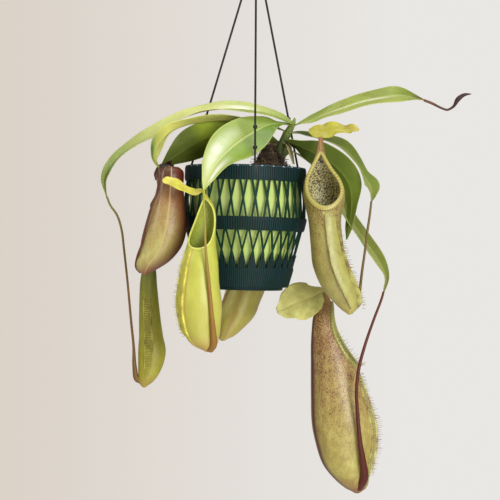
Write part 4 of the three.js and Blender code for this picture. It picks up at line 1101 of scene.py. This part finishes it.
def stand_hair(hair, spot, out, length):
    """A copy of the hair that stands on a spot and points outwards"""
    aim = out.to_track_quat("Z", "Y").to_matrix().to_4x4()
    return copy_of(hair, Matrix.Translation(spot) @ aim @ Matrix.Diagonal((1, 1, length, 1)))


def fringe_hairs(pitcher, turns, hair, chance):
    """Stiff tapering hairs along a wing, a little uneven in length and direction"""
    top, foot = pitcher["wing_ends"]
    count = int((top - foot) / HAIR_GAP)
    hairs = []
    for k in range(count):
        share = (k + 0.5 + chance.uniform(-0.3, 0.3)) / count
        height, turn, rise = wing_spot(pitcher, turns, share)
        out = Vector((math.sin(turn), -math.cos(turn), chance.uniform(-0.3, 0.4)))
        out.x += chance.uniform(-0.25, 0.25)
        length = pitcher["hair"] * chance.uniform(0.7, 1.25) * (0.6 + 0.4 * math.sin(math.pi * share))
        hairs.append(stand_hair(hair, wall_spot(pitcher, height, turn, rise - 0.1), out, length))
    return hairs


def rim_hairs(pitcher, hair, chance):
    """Stiff hairs round the lower half of a mouth's rim"""
    hairs = []
    for k in range(-15, 16):
        height, turn = mouth_edge(pitcher, 0.1 * (k + chance.uniform(-0.4, 0.4)))
        out = Vector((math.sin(turn) + chance.uniform(-0.3, 0.3), -math.cos(turn), chance.uniform(0, 0.9)))
        length = pitcher["hair"] * chance.uniform(1, 1.6)
        hairs.append(stand_hair(hair, wall_spot(pitcher, height, turn, 2), out, length))
    return hairs


def wing_rungs(pitcher):
    """The fringe of a pitcher that is still closed: pressed flat, straight across between its wings"""
    (top, foot), ends = pitcher["wing_ends"], sorted(pitcher["wings"])
    count = int((top - foot) / RUNG_GAP)
    rungs = []
    for k in range(count):
        share = (k + 0.5) / count
        low, high = (a + (b - a) * share for a, b in ends)
        rings = []
        for m in range(9):
            turn = math.radians(low - 3 + (high - low + 6) * m / 8)
            out = Vector((math.sin(turn), -math.cos(turn), 0))
            level = top + (foot - top) * share + 0.9 * math.sin(math.pi * m / 8)
            rings.append((wall_spot(pitcher, level, turn, 0.5), out * 0.45, Vector((0, 0, 0.5))))
        rungs.append(lay_tube("rung", 6, rings))
    return rungs


def wing_line(tree, pitcher, up, turns):
    """The place round the cup of a line down its wall, at a height share"""
    high, low = (height_share(pitcher, height) for height in pitcher["wing_ends"])
    face = pitcher["mouth"][0] if pitcher["mouth"] else 0
    top, foot = ((turn - face) / 360 for turn in turns)
    return add_node(tree, "MapRange", {"Value": up, "From Min": low, "From Max": high,
                                       "To Min": foot, "To Max": top}).outputs[0]


def wing_panel(tree, pitcher, around, up):
    """1 on the wall between the two wings, 0 outside them and above them"""
    first, second = (wing_line(tree, pitcher, up, turns) for turns in sorted(pitcher["wings"]))
    past_first = between(tree, sums(tree, "SUBTRACT", around, first), 0, 0.008)
    before_second = between(tree, sums(tree, "SUBTRACT", second, around), 0, 0.008)
    wing_top = height_share(pitcher, pitcher["wing_ends"][0])
    below_top = between(tree, up, wing_top + 0.04, wing_top - 0.02)
    return times(tree, times(tree, past_first, before_second), below_top)


def pitcher_finish(name, pitcher):
    """Waxy wall: shaded from foot to neck, freckled above, with its panel, ridges and back line"""
    material, tree, shader = new_finish(name, Roughness=0.44, Coat_Weight=0.12, Coat_Roughness=0.3,
                                        Subsurface_Weight=0.06, Subsurface_Scale=0.002)
    round_cup, up = map_shares(tree)
    around = sums(tree, "SUBTRACT", sums(tree, "FRACT", sums(tree, "ADD", round_cup, 0.5)), 0.5)
    uneven = place_group(tree, uneven_surface, Size=45, Stretch=(1, 1, 0.5))
    patchy = place_group(tree, uneven_surface, Size=130, Stretch=(1, 1, 0.6)).outputs["Share"]
    fine = place_group(tree, uneven_surface, Size=780, Stretch=(1, 1, 0.7)).outputs["Share"]
    coarse = place_group(tree, uneven_surface, Size=190, Stretch=(1, 1, 0.6)).outputs["Share"]
    panel = wing_panel(tree, pitcher, around, up)

    body = blend(tree, between(tree, up, 0.15, 0.75), tint(*pitcher["low"]), tint(*pitcher["high"]))
    body = painted(tree, body, panel, pitcher["panel_share"], pitcher["panel"])
    body = painted(tree, body, uneven.outputs["Share"], 0.4, (206, 196, 150), "MULTIPLY")
    body = painted(tree, body, patchy, pitcher["mottling"], (186, 150, 104), "MULTIPLY")

    freckles = sums(tree, "MAXIMUM", between(tree, fine, 0.44, 0.78),
                    times(tree, between(tree, coarse, 0.62, 0.9), pitcher["coarse"]))
    dense = add_node(tree, "MapRange", {"Value": up, "From Min": 0.15, "From Max": 0.85,
                                        "To Min": 0.25 * pitcher["speck_share"],
                                        "To Max": 1.3 * pitcher["speck_share"]}).outputs[0]
    strewn = times(tree, dense, sums(tree, "ADD", times(tree, patchy, 0.9), 0.5))
    off_panel = sums(tree, "SUBTRACT", 1, times(tree, panel, 0.6))
    body = painted(tree, body, times(tree, freckles, strewn), off_panel, pitcher["specks"])

    # The neck colour; on pitcher_left it is partly painted shade over the top.
    narrowing = between(tree, up, pitcher["neck_from"], pitcher["neck_from"] * 0.3 + 0.7)
    body = painted(tree, body, narrowing, 0.85, pitcher["neck"])
    body = painted(tree, body, between(tree, up, 0.1, 0.0), 0.75, pitcher["foot"])
    # The back line; on pitcher_left it is a broad band, partly painted shade down the right side.
    place, reach, strength = pitcher["back_line"]
    spread = add_node(tree, "MapRange", {"Value": up, "From Max": 0.3, "To Min": 0.4, "To Max": 1}).outputs[0]
    away = times(tree, sums(tree, "SUBTRACT", round_cup, place), spread)
    body = painted(tree, body, nearness(tree, away, 0, reach), strength, pitcher["back"])
    for top_turn, foot_turn, reach, colour in pitcher["ridges"]:
        ridge = nearness(tree, around, wing_line(tree, pitcher, up, (top_turn, foot_turn)), reach)
        body = painted(tree, body, ridge, 0.75, colour)
    tree.links.new(body, shader.inputs["Base Color"])
    raise_bump(tree, shader, uneven.outputs["Height"], 0.25, 0.0008)
    return material


def inside_finish(name, pitcher):
    """The cup's inner wall, waxy and densely freckled"""
    material, tree, shader = new_finish(name, Roughness=0.45)
    fine = place_group(tree, uneven_surface, Size=560, Stretch=(1, 1, 1)).outputs["Share"]
    coarse = place_group(tree, uneven_surface, Size=150, Stretch=(1, 1, 0.7)).outputs["Share"]
    freckles = sums(tree, "MAXIMUM", between(tree, fine, 0.48, 0.62),
                    times(tree, between(tree, coarse, 0.66, 0.85), 0.5))
    colour = blend(tree, freckles, tint(*pitcher["inside"]), tint(*pitcher["spots"]))
    tree.links.new(colour, shader.inputs["Base Color"])
    return material


def rim_finish(name, pitcher):
    """The slippery rim: glossy, with fine ribs across it that darken to brown at its outer edge"""
    material, tree, shader = new_finish(name, Roughness=0.32, Coat_Weight=0.3, Coat_Roughness=0.15)
    round_tube, round_mouth = map_shares(tree)
    uneven = place_group(tree, uneven_surface, Size=260, Stretch=(1, 1, 1)).outputs["Share"]
    ribs = between(tree, sums(tree, "COSINE", times(tree, round_mouth, 2 * math.pi * RIM_RIBS)), 0.1, 0.9)
    body = painted(tree, tint(*pitcher["rim"]), ribs, 0.25 * pitcher["ticks"], pitcher["specks"])
    edge = nearness(tree, round_tube, 0.17, 0.13)
    broken = sums(tree, "ADD", times(tree, ribs, 0.6), times(tree, uneven, 0.35))
    body = painted(tree, body, times(tree, edge, broken), pitcher["ticks"], (92, 50, 28))
    tree.links.new(body, shader.inputs["Base Color"])
    return material


def fringe_finish(name, pitcher):
    """The wings with their hairs or rungs, flecked with the freckles' colour"""
    material, tree, shader = new_finish(name, Roughness=0.45)
    uneven = place_group(tree, uneven_surface, Size=90, Stretch=(1, 1, 1)).outputs["Share"]
    colour = blend(tree, uneven, tint(*pitcher["fringe"]), tint(*pitcher["specks"]))
    tree.links.new(colour, shader.inputs["Base Color"])
    return material


clear_choice()
bpy.ops.mesh.primitive_cone_add(vertices=4, radius1=0.36, radius2=0.1, depth=1, location=(0, 0, 0.5))
bpy.ops.object.transform_apply(location=True)
hair = named("hair")
chance = random.Random(21)
for name, pitcher in PITCHERS.items():
    wall = lay_wall(name + "_wall", pitcher)
    wall.data.materials.append(pitcher_finish(name + "_skin", pitcher))
    if pitcher["mouth"]:
        wall.data.materials.append(inside_finish(name + "_inside", pitcher))
        apply_modifier(wall, "SOLIDIFY", thickness=WALL_THICKNESS, offset=-1, material_offset=1)
    finish_piece(wall, pitcher["slot"], None, name)
    trim = [lay_tube(name + "_wing", 10, wing_rings(pitcher, turns)) for turns in pitcher["wings"]]
    if pitcher["hair"]:
        for turns in pitcher["wings"]:
            trim += fringe_hairs(pitcher, turns, hair, chance)
        if pitcher["hairy_rim"]:
            trim += rim_hairs(pitcher, hair, chance)
    else:
        trim += wing_rungs(pitcher)
    fringe = join_pieces(name + "_fringe", trim)
    finish_piece(fringe, pitcher["slot"], fringe_finish(name + "_fringe", pitcher))
    if pitcher["mouth"]:
        rim = lay_tube(name + "_rim", 14, mouth_rings(pitcher, 4 * RIM_RIBS), loop=True)
        finish_piece(rim, pitcher["slot"], rim_finish(name + "_rim", pitcher))
bpy.data.objects.remove(hair)

# Lids. A thin waxy blade on the tip of each open pitcher's neck, arched over its mouth or folded back
# from it. Lids are made as the leaves are, only smaller, and most continue the neck that carries them.
LIDS = {
    # on: the pitcher whose neck runs on into the lid, or None where the lid lies across its neck
    "lid_front": {
        "on": "pitcher_front", "slot": "lid_yellow", "way": 1, "fold": 12, "wave": 1, "rows": [
            (-60, -78, -320, 3.6, 40), (-67, -81, -322, 4.8, 50), (-78, -83, -318, 5, 50),
            (-89, -84, -312, 6.5, 50), (-98, -83, -309, 5.5, 50), (-102, -82, -308, 1.5, 50)],
        "top": [(0, (188, 184, 70)), (0.5, (226, 222, 84)), (1, (236, 230, 104))],
        "under": [(0, (176, 170, 56)), (1, (204, 196, 60))],
    },
    "lid_left": {
        "on": "pitcher_left", "slot": "lid_brown", "way": 1, "fold": 6, "wave": 0.5, "rows": [
            (-96, -35, -289, 5, -10), (-100, -29, -289, 8, -10), (-107, -20, -292, 9, -10),
            (-112, -12, -298, 6, -10), (-114, -6, -304, 2, -10)],
        "top": [(0, (70, 34, 22)), (1, (104, 62, 36))],
        "under": [(0, (64, 34, 22)), (1, (90, 54, 32))],
    },
    "lid_right": {
        "on": None, "slot": "lid_yellow", "way": -1, "fold": 6, "wave": 1.2, "rows": [
            (60, -28, -250, 2.5, 60), (67.5, -29, -251, 8, 60), (78.5, -30, -251, 10, 60),
            (89, -34, -248.5, 9, 60), (101, -40, -249.5, 5, 60), (109, -44, -249, 6, 60),
            (115.5, -47, -251, 1.5, 60)],
        "top": [(0, (172, 168, 52)), (0.5, (196, 191, 64)), (1, (202, 187, 80))],
        "under": [(0, (160, 152, 46)), (1, (196, 180, 66))],
    },
    "lid_large": {
        "on": "pitcher_large", "slot": "lid_olive", "way": 1, "fold": 5, "wave": 1.2, "rows": [
            (76, 11, -434, 8, 62), (68, 10, -439, 18, 66), (54, 8, -444, 24, 66),
            (41, 7, -449, 20, 66), (33, 6, -453, 13, 66), (24.5, 5, -455.5, 3.5, 66)],
        "top": [(0, (176, 158, 88)), (0.25, (224, 226, 136)), (1, (232, 232, 150))],
        "under": [(0, (176, 158, 88)), (0.25, (230, 226, 136)), (1, (238, 232, 148))],
    },
    "lid_back": {
        "on": "pitcher_back", "slot": "lid_olive", "way": -1, "fold": 6, "wave": 0.6, "rows": [
            (17, 108, -310, 4, 30), (25, 112, -306, 8, 30), (38, 117, -309, 10, 30),
            (50, 121, -317, 3, 30)],
        "top": [(0, (160, 150, 74)), (1, (176, 172, 90))],
        "under": [(0, (160, 150, 74)), (1, (176, 172, 90))],
    },
}
for name, lid in LIDS.items():
    if lid["on"]:
        z, left, right, y = PITCHERS[lid["on"]]["rows"][-1]
        neck = ((left + right) / 2, y, z + 1, (right - left) / 2 - 0.4, lid["rows"][0][4])
        lid["rows"].insert(0, neck)
    top, under = (
        leaf_finish(name + "_" + face, lid[face], 0.42, midrib=lid[face][0][1], half_shading=0.15, mottling=0.4)
        for face in ("top", "under"))
    lay_leaf(name, lid, 32, 56, top, under)

# Hook. The top of the hanger: a moulded plastic hook, open at one side, on a small round hub that
# holds the three strands. The rod is bent in one plane.
HOOK_INNER, HOOK_ROD = 11, 1.9
HUB_HEIGHT, HUB_RADIUS, HUB_DEPTH = -58, 3.2, 7.5
arm = HOOK_INNER + HOOK_ROD
hook_rows = [(0, 0, HUB_HEIGHT + 1, HOOK_ROD), (0, 0, HUB_HEIGHT + 7, HOOK_ROD),
             (arm * 0.55, 0, HUB_HEIGHT + 15, HOOK_ROD)]
for degrees in range(0, 216, 30):
    turn = math.radians(degrees)
    hook_rows.append((arm * math.cos(turn), 0, arm * math.sin(turn) - HOOK_INNER, HOOK_ROD))
hook_rod = lay_tube("hook_rod", 20, rod_rings(hook_rows, 110))
clear_choice()
bpy.ops.mesh.primitive_cylinder_add(vertices=40, radius=HUB_RADIUS, depth=HUB_DEPTH,
                                    location=(0, 0, HUB_HEIGHT + 0.2))
bpy.ops.object.transform_apply(location=True)
hub = named("hub")
apply_modifier(hub, "BEVEL", width=1.1, segments=4, limit_method="ANGLE")
hanger_plastic = moulded_plastic("hanger_plastic", tint(30, 30, 30), tint(50, 46, 44), 0.4)
hook = join_pieces("hook_and_hub", [hook_rod, hub])
finish_piece(hook, "hanger_plastic", hanger_plastic, "hanger_hook", smooth=False)
bpy.ops.object.shade_smooth_by_angle(angle=math.radians(40))

# Strands. Three stiff thin moulded rods from the hub to the pot, each with two small beads on it and a
# flat clip at its foot that sits over the pot's rim.
STRANDS = {"front": (9, (0.08, 0.18)), "left": (-107, (0.12, 0.25)), "right": (113, (0.12, 0.25))}
STRAND_RADIUS, BEAD_RADIUS = 1.2, 2.6
CLIP_OUTER, CLIP_INNER = pot_radius(140) + 0.3, pot_radius(140) - 2.7
CLIP_WIDTH, CLIP_WALL, CLIP_TOP = 5, 1.6, 141.9


def clip_bar(low, inner, outer):
    """One plate of the clip as a rounded block, in the pot's frame at the front"""
    clear_choice()
    bpy.ops.mesh.primitive_cube_add(size=1)
    plate = named("plate")
    for point in plate.data.vertices:
        point.co = Vector((point.co.x * CLIP_WIDTH, -(inner + outer) / 2 + point.co.y * (outer - inner),
                           (low + CLIP_TOP) / 2 + point.co.z * (CLIP_TOP - low)))
    apply_modifier(plate, "BEVEL", width=0.45, segments=3, limit_method="ANGLE")
    return plate


def bead(spot):
    clear_choice()
    bpy.ops.mesh.primitive_uv_sphere_add(segments=20, ring_count=12, radius=BEAD_RADIUS, location=spot)
    bpy.ops.object.transform_apply(location=True)
    return named("bead")


for side, (degrees, beads) in STRANDS.items():
    turn = math.radians(degrees)
    plates = [
        clip_bar(129, CLIP_OUTER, CLIP_OUTER + CLIP_WALL),
        clip_bar(134, CLIP_INNER - CLIP_WALL, CLIP_INNER),
        clip_bar(CLIP_TOP - CLIP_WALL, CLIP_INNER - CLIP_WALL, CLIP_OUTER + CLIP_WALL),
    ]
    for plate in plates:
        plate.data.transform(POT_STAND @ Matrix.Rotation(turn, 4, "Z"))
    foot = POT_STAND @ round_spot((CLIP_INNER + CLIP_OUTER) / 2, turn, CLIP_TOP - CLIP_WALL / 2)
    head = round_spot(HUB_RADIUS + 0.3 + STRAND_RADIUS, turn, HUB_HEIGHT)
    rod_rows = [(*foot.lerp(head, share), STRAND_RADIUS) for share in (0, 0.5, 1)]
    rod = lay_tube("rod", 14, rod_rings(rod_rows, 6))
    knots = [bead(foot.lerp(head, share)) for share in beads]
    strand = join_pieces("strand_" + side, plates + [rod] + knots)
    finish_piece(strand, "hanger_plastic", hanger_plastic, "hanger_strand_" + side, smooth=False)
    bpy.ops.object.shade_smooth_by_angle(angle=math.radians(40))

# Room. A pale floor far below the hanging plant, soft light from all round, four broad lamps of which
# the strongest stands at the front right, and the camera level with the pot.
clear_choice()
bpy.ops.mesh.primitive_circle_add(vertices=96, radius=2.4, fill_type="NGON", location=(0, 0, -1.35))
floor = named("floor")
floor_paint, tree, shader = new_finish("floor_paint", Roughness=0.9)
shader.inputs["Base Color"].default_value = tint(238, 234, 228)
floor.data.materials.append(floor_paint)

view = bpy.context.scene.view_settings
view.view_transform, view.look = "Standard", "None"
world = bpy.data.worlds.new("pale_room")
bpy.context.scene.world = world
world.use_nodes = True
room = world.node_tree
way = add_node(room, "SeparateXYZ", {0: add_node(room, "TexCoord").outputs["Generated"]})
rightward = between(room, way.outputs[0], -0.16, 0.1)
# The backdrop darkens and warms towards the left: painted shade across it.
backdrop_shade = blend(room, rightward, tint(219, 210, 200), tint(233, 231, 228))
room.links.new(backdrop_shade, room.nodes["Background"].inputs["Color"])
seen = add_node(room, "LightPath").outputs["Is Camera Ray"]
strength = add_node(room, "MapRange", {"Value": seen, "To Min": 0.45}).outputs[0]
room.links.new(strength, room.nodes["Background"].inputs["Strength"])

plant_middle = Vector((0, 0, -0.38))
for name, spot, size, power in (
    ("window", (0.9, -1.7, -0.1), 0.9, 30), ("ceiling", (-0.1, -0.2, 1.1), 1.2, 13),
    ("left_window", (-1.5, -0.6, 0.5), 0.9, 9), ("floor_light", (0.2, -0.9, -1.3), 1.2, 9),
):
    bpy.ops.object.light_add(type="AREA", location=spot)
    lamp = bpy.context.object
    lamp.name = lamp.data.name = name
    lamp.data.energy, lamp.data.size = power, size
    lamp.rotation_euler = (plant_middle - Vector(spot)).to_track_quat("-Z", "Y").to_euler()

bpy.ops.object.camera_add(location=(-0.0063, -1.7, -0.385), rotation=(math.radians(90), 0, 0))
camera = bpy.context.object
camera.name = camera.data.name = "camera"
camera.data.lens, camera.data.sensor_width = 106.4, 36
bpy.context.scene.camera = camera
